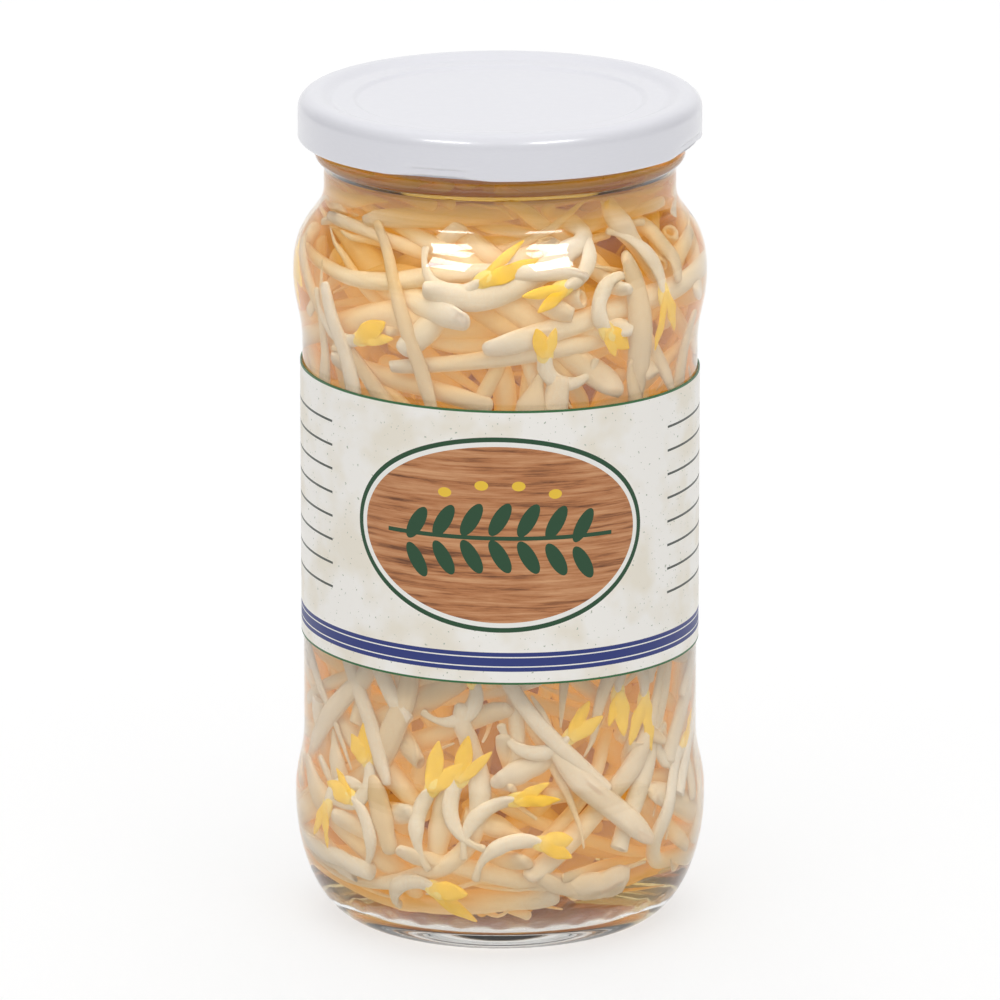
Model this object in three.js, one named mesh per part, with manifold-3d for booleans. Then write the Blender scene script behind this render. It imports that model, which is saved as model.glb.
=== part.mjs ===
// A glass jar of bean sprouts in brine, closed by a twist-off lug lid.
// Millimetres, +Z up. The origin is the centre of the base, and the front faces -Y.

import * as THREE from 'three';
import { mergeVertices } from 'three/addons/utils/BufferGeometryUtils.js';
import Module from 'manifold-3d';

const wasm = await Module();
wasm.setup();

// ---------------------------------------------------------------------------------------
// Driving dimensions
// ---------------------------------------------------------------------------------------

const FACETS = 36; // round every turned piece, so that neighbouring walls line up
const BACK = Math.PI; // angles run anticlockwise seen from above, from the front of the jar
const DEGREE = Math.PI / 180;

// Glass: outside
const GLASS_TOP = 136.4;
const BULGE_RADIUS = 34.1; // the two bands on which a row of jars touches
const PANEL_RADIUS = 32.6; // the recess that the label is wrapped round
const NECK_RADIUS = 28.9;
const BEAD_RADIUS = 30.4;
const FINISH_RADIUS = 29.9; // the wall that carries the threads
const HEEL_RADIUS = 23.8; // where the heel's curve meets the bearing ring
const BEARING_INNER_RADIUS = 22.2;
const PUSH_UP = 3.0; // height of the hollow under the base
const LOWER_BULGE_HEIGHT = 20.5;
const PANEL_BOTTOM = 32.0;
const PANEL_TOP = 97.5;
const UPPER_BULGE_HEIGHT = 109.5;
const NECK_BOTTOM = 123.6;
const BEAD_HEIGHT = 129.4;
const BEAD_REACH = 1.5; // half of the bead's height

// Glass: inside
const BORE_RADIUS = 26.5;
const WALL = 2.4;
const FLOOR_EDGE_HEIGHT = 4.5;
const FLOOR_CENTRE_HEIGHT = 6.5;
const FLOOR_RADIUS = 21.0;
const LIP_ROUNDING = 0.9;

// Threads on the glass and lugs on the lid
const STARTS = 4;
const FIRST_LUG = -18 * DEGREE; // where the lid's lugs stop when it is closed
const THREAD_CREST_RADIUS = 31.5;
const THREAD_HEIGHT = 1.3;
const THREAD_UNDERSIDE = 133.6; // over the middle of a lug, with the lid closed
const THREAD_BEFORE = 20 * DEGREE; // how far a thread runs on each side of a closed lug
const THREAD_AFTER = 40 * DEGREE;
const THREAD_LEAD = 7.2; // rise in one whole turn
const LUG_HALF_ANGLE = 8 * DEGREE;
const LUG_INNER_RADIUS = 30.4;
const LUG_BOTTOM = 131.9;
const LUG_TOP = 133.2;

// Lid
const LID_TOP = 139.1;
const LID_BOTTOM = 131.6;
const LID_RADIUS = 33.1;
const SHEET = 0.6;
const SHOULDER_ROUNDING = 1.9;
const RIM_INNER_RADIUS = 30.4;
const STEP_RUN = 0.8;
const STACKING_FACE = 138.2; // the ring on which another jar's base stands
const CENTRE_PANEL_RADIUS = 20.4;
const CENTRE_PANEL_HEIGHT = 137.75;
const CURL_RADIUS = 31.9;
const CURL_TOP = 133.4;

// Sealing ring
const SEAL_INNER_RADIUS = 26.9;
const SEAL_OUTER_RADIUS = 29.7;
const SEAL_GAP = 0.1;

// Label
const LABEL_BOTTOM = 47.7;
const LABEL_TOP = 93.7;
const LABEL_SKEW = 0.6; // how far its right side sits below its middle: it was wrapped slightly askew
const PAPER = 0.25;
const LABEL_GAP = 0.06;
const LABEL_LAP = 2; // facets by which the end of the label covers its beginning

// Brine
const BRINE_TOP = 129.5;
const BRINE_GAP = 0.5;
const POCKET_RADIUS = 29.0;
const POCKET_NECK_RADIUS = 25.3;
const POCKET_NECK_BOTTOM = 121.0;
const POCKET_SHOULDER = 114.0;
const POCKET_HEEL = 14.0;
const POCKET_FLOOR_RADIUS = 20.0;
const POCKET_FLOOR = 7.9;

// Sprouts
const GAP = 0.3;
const STEM_RADIUS = 1.35;
const STEM_SIDES = 5;
const STEM_STEPS = 6;
const LOOSE_DEPTH = GAP + STEM_RADIUS + 0.1; // of a loose stem's middle, in from the pocket's wall
const BUNCH_DEPTH = 5.1; // of a bunched stem's middle, where it stands out furthest
const BUNCH_ROOT_DEPTH = 11.6; // of its two ends, inside the core
const CORE_RADIUS = 19.0;
const SPACING = 3.2; // between the middles of neighbouring stems
const SPOTS = 14; // where a stem is tested against its neighbours
const SUNK_SPOTS = 3; // of them, at each end of a bunched stem, lie in the core
const MOST_TRIES = 3000;
const LOOSE_COUNT = 26; // stems with leaves included
const BUD_GAP = 0.9; // from a stem's last section to the middle of its leaves' base
const LEAF_SIDES = 4; // a blade's section is a flat diamond
const LEAF_LENGTH = 8.0;
const LEAF_SPREAD = 0.32;
const LEAF_WIDTH = 1.5; // half of the blade's width
const LEAF_THICKNESS = 0.5; // half of the blade's thickness

// Where leaves show at the wall: degrees round from the front, height, and degrees from level
// in which their tips point, anticlockwise seen from outside.
const BUDS = [
  { round: 14, height: 102, points: 90 },
  { round: 33, height: 106, points: -55 },
  { round: 56, height: 110, points: -80 },
  { round: -6, height: 114, points: 35 },
  { round: -13, height: 30, points: 62 },
  { round: -46, height: 31, points: 110 },
  { round: -62, height: 22, points: 250 },
  { round: 12, height: 20, points: -15 },
  { round: 51, height: 42, points: 265 },
  { round: 22, height: 37, points: 40 },
  { round: 120, height: 104, points: 70 },
  { round: 165, height: 28, points: 150 },
  { round: -150, height: 108, points: 300 },
  { round: -105, height: 24, points: 20 },
];

// ---------------------------------------------------------------------------------------
// Materials
// ---------------------------------------------------------------------------------------

function material(colour, roughness, metalness = 0) {
  return new THREE.MeshStandardMaterial({ color: colour, roughness, metalness });
}

const glass = material('#dfe6dc', 0.05);
glass.transparent = true;
glass.opacity = 0.3;
const brineLiquid = material('#c9984e', 0.05);
brineLiquid.transparent = true;
brineLiquid.opacity = 0.4;
const lacqueredSteel = material('#eceef2', 0.25);
const sealingCompound = material('#e9e6dc', 0.7);
const paper = material('#eceae2', 0.55);
const stemFlesh = material('#e4d3b8', 0.4);
const leafFlesh = material('#efc23a', 0.45);
const beanSkin = material('#b98468', 0.45);

// ---------------------------------------------------------------------------------------
// Outlines, solids and meshes
// ---------------------------------------------------------------------------------------

// Points are (radius, height). A curve's first point is left out where it repeats the last one.
function ellipseArc(radius, height, acrossRadius, upRadius, startDegrees, endDegrees, steps) {
  const clockwise = endDegrees < startDegrees;
  const curve = new THREE.EllipseCurve(
    radius, height, acrossRadius, upRadius, startDegrees * DEGREE, endDegrees * DEGREE, clockwise,
  );
  return curve.getPoints(steps);
}

// An S from one point to another that starts and ends upright.
function swell(from, to, fromReach, toReach, steps) {
  const direction = Math.sign(to.y - from.y);
  const leaving = new THREE.Vector2(from.x, from.y + direction * fromReach);
  const arriving = new THREE.Vector2(to.x, to.y - direction * toReach);
  return new THREE.CubicBezierCurve(from, leaving, arriving, to).getPoints(steps);
}

function point(radius, height) {
  return new THREE.Vector2(radius, height);
}

function turned(outline) {
  const tolerance = 1e-3;
  const distinct = outline.filter((spot, i) => i === 0 || spot.distanceTo(outline[i - 1]) > tolerance);
  return new THREE.LatheGeometry(distinct, FACETS).rotateX(Math.PI / 2);
}

function around(radius, angle, height) {
  return new THREE.Vector3(radius * Math.sin(angle), -radius * Math.cos(angle), height);
}

// A closed solid through rings of points that all have the same number of corners.
function loft(rings) {
  const sides = rings[0].length;
  const faces = [];
  for (let ring = 0; ring < rings.length - 1; ring += 1) {
    for (let side = 0; side < sides; side += 1) {
      const next = (side + 1) % sides;
      const [a, b] = [ring * sides + side, ring * sides + next];
      faces.push(a, b, b + sides, a, b + sides, a + sides);
    }
  }
  const last = (rings.length - 1) * sides;
  for (let side = 1; side < sides - 1; side += 1) {
    faces.push(0, side + 1, side, last, last + side, last + side + 1);
  }
  const geometry = new THREE.BufferGeometry().setFromPoints(rings.flat());
  geometry.setIndex(faces);
  geometry.computeVertexNormals();
  return geometry;
}

function toSolid(geometry) {
  const bare = geometry.clone();
  bare.deleteAttribute('normal');
  bare.deleteAttribute('uv');
  const merged = mergeVertices(bare);
  const corners = merged.index.array;
  const faces = [];
  for (let i = 0; i < corners.length; i += 3) {
    const [a, b, c] = corners.slice(i, i + 3);
    if (a !== b && b !== c && c !== a) faces.push(a, b, c);
  }
  return new wasm.Manifold(new wasm.Mesh({
    numProp: 3,
    vertProperties: Float32Array.from(merged.attributes.position.array),
    triVerts: Uint32Array.from(faces),
  }));
}

function toGeometry(solid) {
  const result = solid.getMesh();
  const geometry = new THREE.BufferGeometry();
  geometry.setAttribute('position', new THREE.BufferAttribute(result.vertProperties, 3));
  geometry.setIndex(new THREE.BufferAttribute(result.triVerts, 1));
  geometry.computeVertexNormals();
  return geometry;
}

function fused(geometries) {
  return toGeometry(geometries.map(toSolid).reduce((whole, piece) => whole.add(piece)));
}

function named(name, geometry, finish) {
  const mesh = new THREE.Mesh(geometry, finish);
  mesh.name = name;
  return mesh;
}

// ---------------------------------------------------------------------------------------
// Glass jar: one moulded piece with its threads
// ---------------------------------------------------------------------------------------

// The inner wall from the bore's top down to the floor, with the given steps in each curve.
function innerWall(top, steps) {
  const bulge = BULGE_RADIUS - WALL;
  const panel = PANEL_RADIUS - WALL;
  const boreEnd = point(BORE_RADIUS, NECK_BOTTOM);
  const upperBulge = point(bulge, UPPER_BULGE_HEIGHT);
  const panelTop = point(panel, PANEL_TOP);
  const panelBottom = point(panel, PANEL_BOTTOM);
  const lowerBulge = point(bulge, LOWER_BULGE_HEIGHT);
  const heelRise = LOWER_BULGE_HEIGHT - FLOOR_EDGE_HEIGHT;
  return [
    point(BORE_RADIUS, top),
    ...swell(boreEnd, upperBulge, 4, 9, steps),
    ...swell(upperBulge, panelTop, 5, 5, steps),
    ...swell(panelBottom, lowerBulge, 5, 5, steps),
    ...ellipseArc(FLOOR_RADIUS, LOWER_BULGE_HEIGHT, bulge - FLOOR_RADIUS, heelRise, 0, -90, steps),
    point(FLOOR_RADIUS / 2, (FLOOR_EDGE_HEIGHT + 2 * FLOOR_CENTRE_HEIGHT) / 3),
    point(0, FLOOR_CENTRE_HEIGHT),
  ];
}

function jarOutline() {
  const heelRun = BULGE_RADIUS - HEEL_RADIUS;
  const beadRun = BEAD_RADIUS - NECK_RADIUS;
  const beadEnd = Math.acos((FINISH_RADIUS - NECK_RADIUS) / beadRun) / DEGREE;
  const lowerBulge = point(BULGE_RADIUS, LOWER_BULGE_HEIGHT);
  const upperBulge = point(BULGE_RADIUS, UPPER_BULGE_HEIGHT);
  const lipHeight = GLASS_TOP - LIP_ROUNDING;
  return [
    point(0, PUSH_UP),
    point(BEARING_INNER_RADIUS / 2, PUSH_UP * 0.8),
    point(BEARING_INNER_RADIUS - 2, PUSH_UP * 0.25),
    point(BEARING_INNER_RADIUS, 0),
    ...ellipseArc(HEEL_RADIUS, LOWER_BULGE_HEIGHT, heelRun, LOWER_BULGE_HEIGHT, -90, 0, 7),
    ...swell(lowerBulge, point(PANEL_RADIUS, PANEL_BOTTOM), 5, 5, 4),
    ...swell(point(PANEL_RADIUS, PANEL_TOP), upperBulge, 5, 5, 4),
    ...swell(upperBulge, point(NECK_RADIUS, NECK_BOTTOM), 9, 5, 6),
    ...ellipseArc(NECK_RADIUS, BEAD_HEIGHT, beadRun, BEAD_REACH, -90, beadEnd, 5),
    ...ellipseArc(FINISH_RADIUS - LIP_ROUNDING, lipHeight, LIP_ROUNDING, LIP_ROUNDING, 0, 90, 2),
    ...ellipseArc(BORE_RADIUS + LIP_ROUNDING, lipHeight, LIP_ROUNDING, LIP_ROUNDING, 90, 180, 2),
    ...innerWall(lipHeight, 3),
  ];
}

// A thread winds up the finish and fades into the glass at both ends.
function threadGeometry(start) {
  const root = FINISH_RADIUS - 0.6;
  const stations = 7;
  const rings = [];
  for (let station = 0; station <= stations; station += 1) {
    const offset = -THREAD_BEFORE + (station / stations) * (THREAD_AFTER + THREAD_BEFORE);
    const angle = start + offset;
    const underside = THREAD_UNDERSIDE + (THREAD_LEAD * offset) / (2 * Math.PI);
    const atEnd = station === 0 || station === stations;
    const crest = atEnd ? FINISH_RADIUS + 0.3 : THREAD_CREST_RADIUS;
    rings.push([
      around(root, angle, underside + THREAD_HEIGHT),
      around(crest, angle, underside + THREAD_HEIGHT * 0.6),
      around(crest, angle, underside + THREAD_HEIGHT * 0.15),
      around(root, angle, underside),
    ]);
  }
  return loft(rings);
}

const closedLugs = Array.from({ length: STARTS }, (_, i) => FIRST_LUG + (i * 2 * Math.PI) / STARTS);

function jarGeometry() {
  return fused([turned(jarOutline()), ...closedLugs.map(threadGeometry)]);
}

// ---------------------------------------------------------------------------------------
// Lid: one pressed and curled sheet with its lugs, and the sealing ring in its channel
// ---------------------------------------------------------------------------------------

function lidOutline() {
  const under = -SHEET;
  const slope = SHEET / 2; // keeps the sheet's thickness on the sloping steps
  const stepTop = RIM_INNER_RADIUS;
  const stepFoot = RIM_INNER_RADIUS - STEP_RUN;
  const shoulder = LID_RADIUS - SHOULDER_ROUNDING;
  const shoulderHeight = LID_TOP - SHOULDER_ROUNDING;
  const inner = SHOULDER_ROUNDING - SHEET;
  const curlMiddle = (LID_RADIUS + CURL_RADIUS) / 2;
  const curlHalf = (LID_RADIUS - CURL_RADIUS) / 2;
  return [
    point(0, CENTRE_PANEL_HEIGHT + under),
    point(CENTRE_PANEL_RADIUS + slope, CENTRE_PANEL_HEIGHT + under),
    point(CENTRE_PANEL_RADIUS + STEP_RUN + slope, STACKING_FACE + under),
    point(stepFoot + slope, STACKING_FACE + under),
    point(stepTop + slope, LID_TOP + under),
    ...ellipseArc(shoulder, shoulderHeight, inner, inner, 90, 0, 3),
    point(LID_RADIUS - SHEET, CURL_TOP + SHEET),
    point(CURL_RADIUS, CURL_TOP),
    ...ellipseArc(curlMiddle, LID_BOTTOM + curlHalf, curlHalf, curlHalf, -180, 0, 4),
    ...ellipseArc(shoulder, shoulderHeight, SHOULDER_ROUNDING, SHOULDER_ROUNDING, 0, 90, 4),
    point(stepTop, LID_TOP),
    point(stepFoot, STACKING_FACE),
    point(CENTRE_PANEL_RADIUS + STEP_RUN, STACKING_FACE),
    point(CENTRE_PANEL_RADIUS, CENTRE_PANEL_HEIGHT),
    point(0, CENTRE_PANEL_HEIGHT),
  ];
}

// A lug is pressed inwards out of the curl and hooks under a thread.
function lugGeometry(middle) {
  const outer = CURL_RADIUS + 0.5;
  const rings = [-1, 0, 1].map((side) => {
    const angle = middle + side * LUG_HALF_ANGLE;
    return [
      around(LUG_INNER_RADIUS, angle, LUG_BOTTOM + 0.3),
      around(LUG_INNER_RADIUS, angle, LUG_TOP),
      around(outer, angle, LUG_TOP),
      around(outer, angle, LUG_BOTTOM),
    ];
  });
  return loft(rings);
}

function lidGeometry() {
  return fused([turned(lidOutline()), ...closedLugs.map(lugGeometry)]);
}

function sealGeometry() {
  const bottom = GLASS_TOP + SEAL_GAP;
  const top = STACKING_FACE - SHEET - SEAL_GAP;
  return turned([
    point(SEAL_INNER_RADIUS, bottom),
    point(SEAL_OUTER_RADIUS, bottom),
    point(SEAL_OUTER_RADIUS, top),
    point(SEAL_INNER_RADIUS, top),
    point(SEAL_INNER_RADIUS, bottom),
  ]);
}

// ---------------------------------------------------------------------------------------
// Label: one strip of paper, glued round the panel and lapped at the back
// ---------------------------------------------------------------------------------------

function labelGeometry() {
  const rings = [];
  for (let station = 0; station <= FACETS + LABEL_LAP; station += 1) {
    const angle = BACK + (station / FACETS) * 2 * Math.PI;
    const lift = station < FACETS ? 0 : PAPER + LABEL_GAP;
    const inner = PANEL_RADIUS + LABEL_GAP + lift;
    const drop = LABEL_SKEW * Math.sin(angle);
    rings.push([
      around(inner, angle, LABEL_BOTTOM - drop),
      around(inner, angle, LABEL_TOP - drop),
      around(inner + PAPER, angle, LABEL_TOP - drop),
      around(inner + PAPER, angle, LABEL_BOTTOM - drop),
    ]);
  }
  return loft(rings);
}

// ---------------------------------------------------------------------------------------
// Brine: fills the glass, with a plain pocket that holds the sprouts
// ---------------------------------------------------------------------------------------

const pocket = [
  point(POCKET_NECK_RADIUS, BRINE_TOP),
  point(POCKET_NECK_RADIUS, POCKET_NECK_BOTTOM),
  point(POCKET_RADIUS, POCKET_SHOULDER),
  point(POCKET_RADIUS, POCKET_HEEL),
  point(POCKET_FLOOR_RADIUS, POCKET_FLOOR),
  point(0, POCKET_FLOOR),
];

function pocketRadius(height) {
  const upper = pocket.findIndex((spot, i) => i > 0 && spot.y <= height) - 1;
  if (upper < 0) return POCKET_NECK_RADIUS;
  const [above, below] = [pocket[upper], pocket[upper + 1]];
  const share = (height - below.y) / (above.y - below.y);
  return below.x + share * (above.x - below.x);
}

// The outline moved in from the glass by the same distance everywhere.
function inset(outline, distance) {
  return outline.map((spot, i) => {
    const before = outline[Math.max(i - 1, 0)];
    const after = outline[Math.min(i + 1, outline.length - 1)];
    const along = after.clone().sub(before).normalize();
    const moved = spot.clone().add(point(along.y, -along.x).multiplyScalar(distance));
    return spot.x === 0 ? point(0, moved.y) : moved;
  });
}

function brineGeometry() {
  const outside = inset(innerWall(BRINE_TOP, 2), BRINE_GAP).reverse();
  return turned([...outside, ...pocket]);
}

// ---------------------------------------------------------------------------------------
// Sprouts
// ---------------------------------------------------------------------------------------

let seed = 20;

function random() {
  seed = (seed * 16807) % 2147483647;
  return seed / 2147483647;
}

function between(low, high) {
  return low + (high - low) * random();
}

// A course lies along the wall: it starts at an angle and a height, sets off at a heading from
// level and curls evenly on its way.
function randomCourse(lowest, highest, shortest, longest) {
  return {
    angle: between(0, 2 * Math.PI),
    height: between(lowest, highest),
    heading: between(-1.2, 1.2) + (random() < 0.5 ? Math.PI : 0),
    curl: between(-0.035, 0.035),
    length: between(shortest, longest),
  };
}

function layOut(course, steps, depthAt) {
  const centres = [];
  const stride = course.length / steps;
  let { angle, height, heading } = course;
  for (let step = 0; step <= steps; step += 1) {
    const radius = pocketRadius(height) - depthAt(step / steps);
    centres.push(around(radius, angle, height));
    angle += (stride * Math.cos(heading)) / radius;
    height += stride * Math.sin(heading);
    heading += course.curl * stride;
  }
  return { centres, angle, height, heading };
}

// A solid stem or blade along its centres, with a half width and a half thickness at each.
function grown(centres, widths, thicknesses, sides) {
  const rings = centres.map((centre, i) => {
    const before = centres[Math.max(i - 1, 0)];
    const after = centres[Math.min(i + 1, centres.length - 1)];
    const along = after.clone().sub(before).normalize();
    const across = along.clone().cross(new THREE.Vector3(centre.x, centre.y, 0)).normalize();
    const outward = across.clone().cross(along);
    return Array.from({ length: sides }, (_, side) => {
      const turn = (side / sides) * 2 * Math.PI;
      return centre.clone()
        .addScaledVector(outward, Math.cos(turn) * thicknesses[i])
        .addScaledVector(across, Math.sin(turn) * widths[i]);
    });
  });
  return loft(rings);
}

function stemGeometry(centres, radius) {
  const radii = centres.map((_, i) => {
    const share = i / (centres.length - 1);
    return radius * (0.62 + 0.38 * Math.sin(Math.PI * Math.min(1, 0.25 + share)));
  });
  return grown(centres, radii, radii, STEM_SIDES);
}

function staysBetween(spots, bottom, top) {
  return spots.every((spot) => spot.z > bottom && spot.z < top);
}

function isClear(spots, taken) {
  return spots.every((spot) => taken.every((other) => spot.distanceTo(other) > SPACING));
}

// A bunch: stems that arch out of a core, with both ends sunk in it.
function bunchGeometry(bottom, top, count) {
  const archDepth = (share) => {
    const sunk = (1 - Math.sin(Math.PI * share)) ** 2;
    return BUNCH_DEPTH + (BUNCH_ROOT_DEPTH - BUNCH_DEPTH) * sunk;
  };
  const edge = 2.5;
  const core = turned([
    point(0, bottom),
    point(CORE_RADIUS - edge, bottom),
    point(CORE_RADIUS, bottom + edge),
    point(CORE_RADIUS, top - edge),
    point(CORE_RADIUS - edge, top),
    point(0, top),
  ]);
  const stems = [];
  const taken = [];
  for (let tries = 0; tries < MOST_TRIES && stems.length < count; tries += 1) {
    const course = randomCourse(bottom, top, 26, 38);
    const spots = layOut(course, SPOTS, archDepth).centres;
    const shown = spots.slice(SUNK_SPOTS, -SUNK_SPOTS);
    if (staysBetween(spots, bottom + STEM_RADIUS, top - STEM_RADIUS) && isClear(shown, taken)) {
      taken.push(...shown);
      const { centres } = layOut(course, STEM_STEPS, archDepth);
      stems.push(stemGeometry(centres, between(1.1, STEM_RADIUS)));
    }
  }
  return fused([core, ...stems]);
}

// A shoot's tip: two leaves that part from the stem's end, with a seed leaf between them.
function budCourses({ angle, height, heading }) {
  const base = { angle, height, curl: 0 };
  return [
    { ...base, heading: heading - LEAF_SPREAD, length: LEAF_LENGTH },
    { ...base, heading: heading + LEAF_SPREAD, length: LEAF_LENGTH },
    { ...base, heading, length: LEAF_LENGTH * 0.6 },
  ];
}

function leafGeometry(centres, fullness) {
  const shape = [0.4, 0.9, 1, 0.75, 0.2];
  const widths = shape.map((share) => share * LEAF_WIDTH);
  const thicknesses = shape.map((share) => Math.max(share, 0.7) * LEAF_THICKNESS * fullness);
  return grown(centres, widths, thicknesses, LEAF_SIDES);
}

const looseDepth = () => LOOSE_DEPTH;

// The stem that carries a bud leads away from it, opposite to its tips.
function budStemCourse({ angle, height, heading }) {
  const base = layOut({ angle, height, heading: heading + Math.PI, curl: 0, length: BUD_GAP }, 1, looseDepth);
  return {
    angle: base.angle,
    height: base.height,
    heading: heading + Math.PI + between(-0.3, 0.3),
    curl: between(-0.05, 0.05),
    length: between(10, 20),
  };
}

// Loose sprouts lie against the wall of the pocket, clear of each other.
function looseSprouts() {
  const sprouts = [];
  const taken = [];
  for (let tries = 0; tries < MOST_TRIES && sprouts.length < LOOSE_COUNT; tries += 1) {
    const place = BUDS[sprouts.length];
    const bud = place && {
      angle: place.round * DEGREE,
      height: place.height,
      heading: place.points * DEGREE,
    };
    const low = sprouts.length % 2 === 0;
    const course = bud ? budStemCourse(bud) : randomCourse(low ? 16 : 92, low ? 50 : 124, 26, 36);
    const leaves = bud ? budCourses(bud) : [];
    const spots = [course, ...leaves].flatMap((c) => layOut(c, SPOTS, looseDepth).centres);
    if (staysBetween(spots, POCKET_HEEL - 2, BRINE_TOP - 3) && isClear(spots, taken)) {
      taken.push(...spots);
      const stem = layOut(course, STEM_STEPS, looseDepth).centres;
      const blades = leaves.map((c) => layOut(c, 4, looseDepth).centres);
      sprouts.push({ stem, blades });
    }
  }
  return sprouts;
}

// ---------------------------------------------------------------------------------------
// The whole object
// ---------------------------------------------------------------------------------------

const loose = looseSprouts();
const jar = new THREE.Group();
jar.add(
  named('glass_jar', jarGeometry(), glass),
  named('lid', lidGeometry(), lacqueredSteel),
  named('sealing_ring', sealGeometry(), sealingCompound),
  named('label', labelGeometry(), paper),
  named('brine', brineGeometry(), brineLiquid),
  named('sprouts_bottom', bunchGeometry(10, 48, 18), stemFlesh),
  named('sprouts_middle', bunchGeometry(48.4, 92, 6), stemFlesh),
  named('sprouts_top', bunchGeometry(92.4, 120, 16), stemFlesh),
);

loose.forEach(({ stem, blades }, i) => {
  const number = String(i + 1).padStart(2, '0');
  jar.add(named(`sprout_${number}`, stemGeometry(stem, STEM_RADIUS), stemFlesh));
  if (blades.length > 0) {
    const [left, right, seedLeaf] = blades;
    const shoot = fused([leafGeometry(left, 1), leafGeometry(right, 1), leafGeometry(seedLeaf, 2)]);
    jar.add(named(`leaves_${number}`, shoot, leafFlesh));
  }
});

export default jar;
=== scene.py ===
import math
import random

import bpy
import numpy as np
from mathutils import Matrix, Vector, kdtree


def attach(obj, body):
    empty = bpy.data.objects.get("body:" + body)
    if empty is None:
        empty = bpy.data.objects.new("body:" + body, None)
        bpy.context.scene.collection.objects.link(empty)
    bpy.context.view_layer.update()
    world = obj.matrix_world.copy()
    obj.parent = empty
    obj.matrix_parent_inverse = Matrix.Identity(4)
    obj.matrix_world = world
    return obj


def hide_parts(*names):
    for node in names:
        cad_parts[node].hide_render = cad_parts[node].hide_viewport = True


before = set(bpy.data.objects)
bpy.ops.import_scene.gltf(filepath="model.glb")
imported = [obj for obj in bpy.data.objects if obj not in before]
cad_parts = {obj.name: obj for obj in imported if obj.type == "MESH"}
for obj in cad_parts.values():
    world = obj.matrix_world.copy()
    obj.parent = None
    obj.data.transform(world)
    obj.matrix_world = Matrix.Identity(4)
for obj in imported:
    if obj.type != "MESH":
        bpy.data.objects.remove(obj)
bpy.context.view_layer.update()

MM = 0.001  # lengths are written in millimetres and stored in metres

# ---------------------------------------------------------------------------------------
# Glass jar
# Blown soda-lime glass, moulded in one piece: heel, two bulges, a recess for the label, a
# shoulder, and a finish with four threads. The mould leaves raised dots on the heel.
# ---------------------------------------------------------------------------------------

TURN_STEPS = 216  # facets round the jar and everything turned that goes with it
BULGE_RADIUS = 34.1
PANEL_RADIUS = 32.6
NECK_RADIUS = 28.9
BEAD_RADIUS = 30.4
FINISH_RADIUS = 29.9
HEEL_RADIUS = 23.8
BEARING_INNER_RADIUS = 22.2
PUSH_UP = 3.0
GLASS_TOP = 136.4
LOWER_BULGE_HEIGHT = 20.5
PANEL_BOTTOM = 32.0
PANEL_TOP = 97.5
UPPER_BULGE_HEIGHT = 109.5
NECK_BOTTOM = 123.6
BEAD_HEIGHT = 129.4
BEAD_REACH = 1.5
FINISH_BOTTOM = 131.8  # where the bead has ended and the threaded part starts
LIP_ROUNDING = 0.9
BORE_RADIUS = 26.5
WALL = 2.4
FLOOR_RADIUS = 21.0
FLOOR_EDGE_HEIGHT = 4.5
FLOOR_CENTRE_HEIGHT = 6.5
BULGE_EASE = 5  # how far the wall runs on upright where it leaves a bulge or the panel
SHOULDER_EASE = 9
NECK_EASE = 5
INNER_NECK_EASE = 4
LUG_ANGLES = [math.radians(-18 + 90 * i) for i in range(4)]
THREAD_DEPTH = 1.6
THREAD_HEIGHT = 1.3
THREAD_UNDERSIDE = 133.6
THREAD_LEAD = 7.2
THREAD_START = math.radians(-20)
THREAD_END = math.radians(40)
THREAD_FADE = 0.08  # radians over which a thread's ends sink into the glass
THREAD_FOOT_ROUNDING = 0.35
THREAD_TOP_ROUNDING = 0.6
HEEL_DOT_HEIGHT = 6.2
HEEL_DOT_SIZE = 1.1
HEEL_DOT_RISE = 0.14
HEEL_DOT_PITCH = math.radians(12)
HEEL_DOT_SPAN = math.radians(62)  # how far round from the front they go on each side
HEEL_DOT_BAND = (3, 10)  # heights between which the heel can carry a dot
HEEL_DOT_INSET = 3.5
WAVE_DEPTH = 0.08  # slow waves that blowing left in the outside of the wall
WAVE_BOTTOM = 14
WAVE_TOP = 120
WAVE_FADE = 8
WAVED_WALL = PANEL_RADIUS - 0.6  # only the wall's outside is further out than this


def arc(radius, height, across, up, start, end, steps):
    """Points (radius, height) along part of an ellipse, angles in degrees."""
    turns = np.radians(np.linspace(start, end, steps + 1))
    return [(radius + across * math.cos(t), height + up * math.sin(t)) for t in turns]


def swell(a, b, leaving, arriving, steps):
    """An S from a to b that starts and ends upright."""
    way = math.copysign(1, b[1] - a[1])
    handles = np.array([a, (a[0], a[1] + way * leaving), (b[0], b[1] - way * arriving), b])
    points = []
    for t in np.linspace(0, 1, steps + 1):
        weights = np.array([(1 - t) ** 3, 3 * t * (1 - t) ** 2, 3 * t * t * (1 - t), t ** 3])
        points.append(tuple(weights @ handles))
    return points


def straight(a, b, steps):
    return [tuple(p) for p in np.linspace(a, b, steps + 1)]


def smooth_step(value):
    value = min(max(value, 0.0), 1.0)
    return value * value * (3 - 2 * value)


def wrapped(angle):
    return (angle + math.pi) % (2 * math.pi) - math.pi


def around(radius, angle, height):
    """A point in metres: angles run anticlockwise from the front, seen from above."""
    return Vector((radius * math.sin(angle), -radius * math.cos(angle), height)) * MM


def new_object(name, vertices, faces, material, smooth=True):
    mesh = bpy.data.meshes.new(name)
    mesh.from_pydata(vertices, [], faces)
    mesh.validate()
    mesh.update()
    if smooth:
        mesh.shade_smooth()
    mesh.materials.append(material)
    piece = bpy.data.objects.new(name, mesh)
    bpy.context.scene.collection.objects.link(piece)
    return piece


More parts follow.
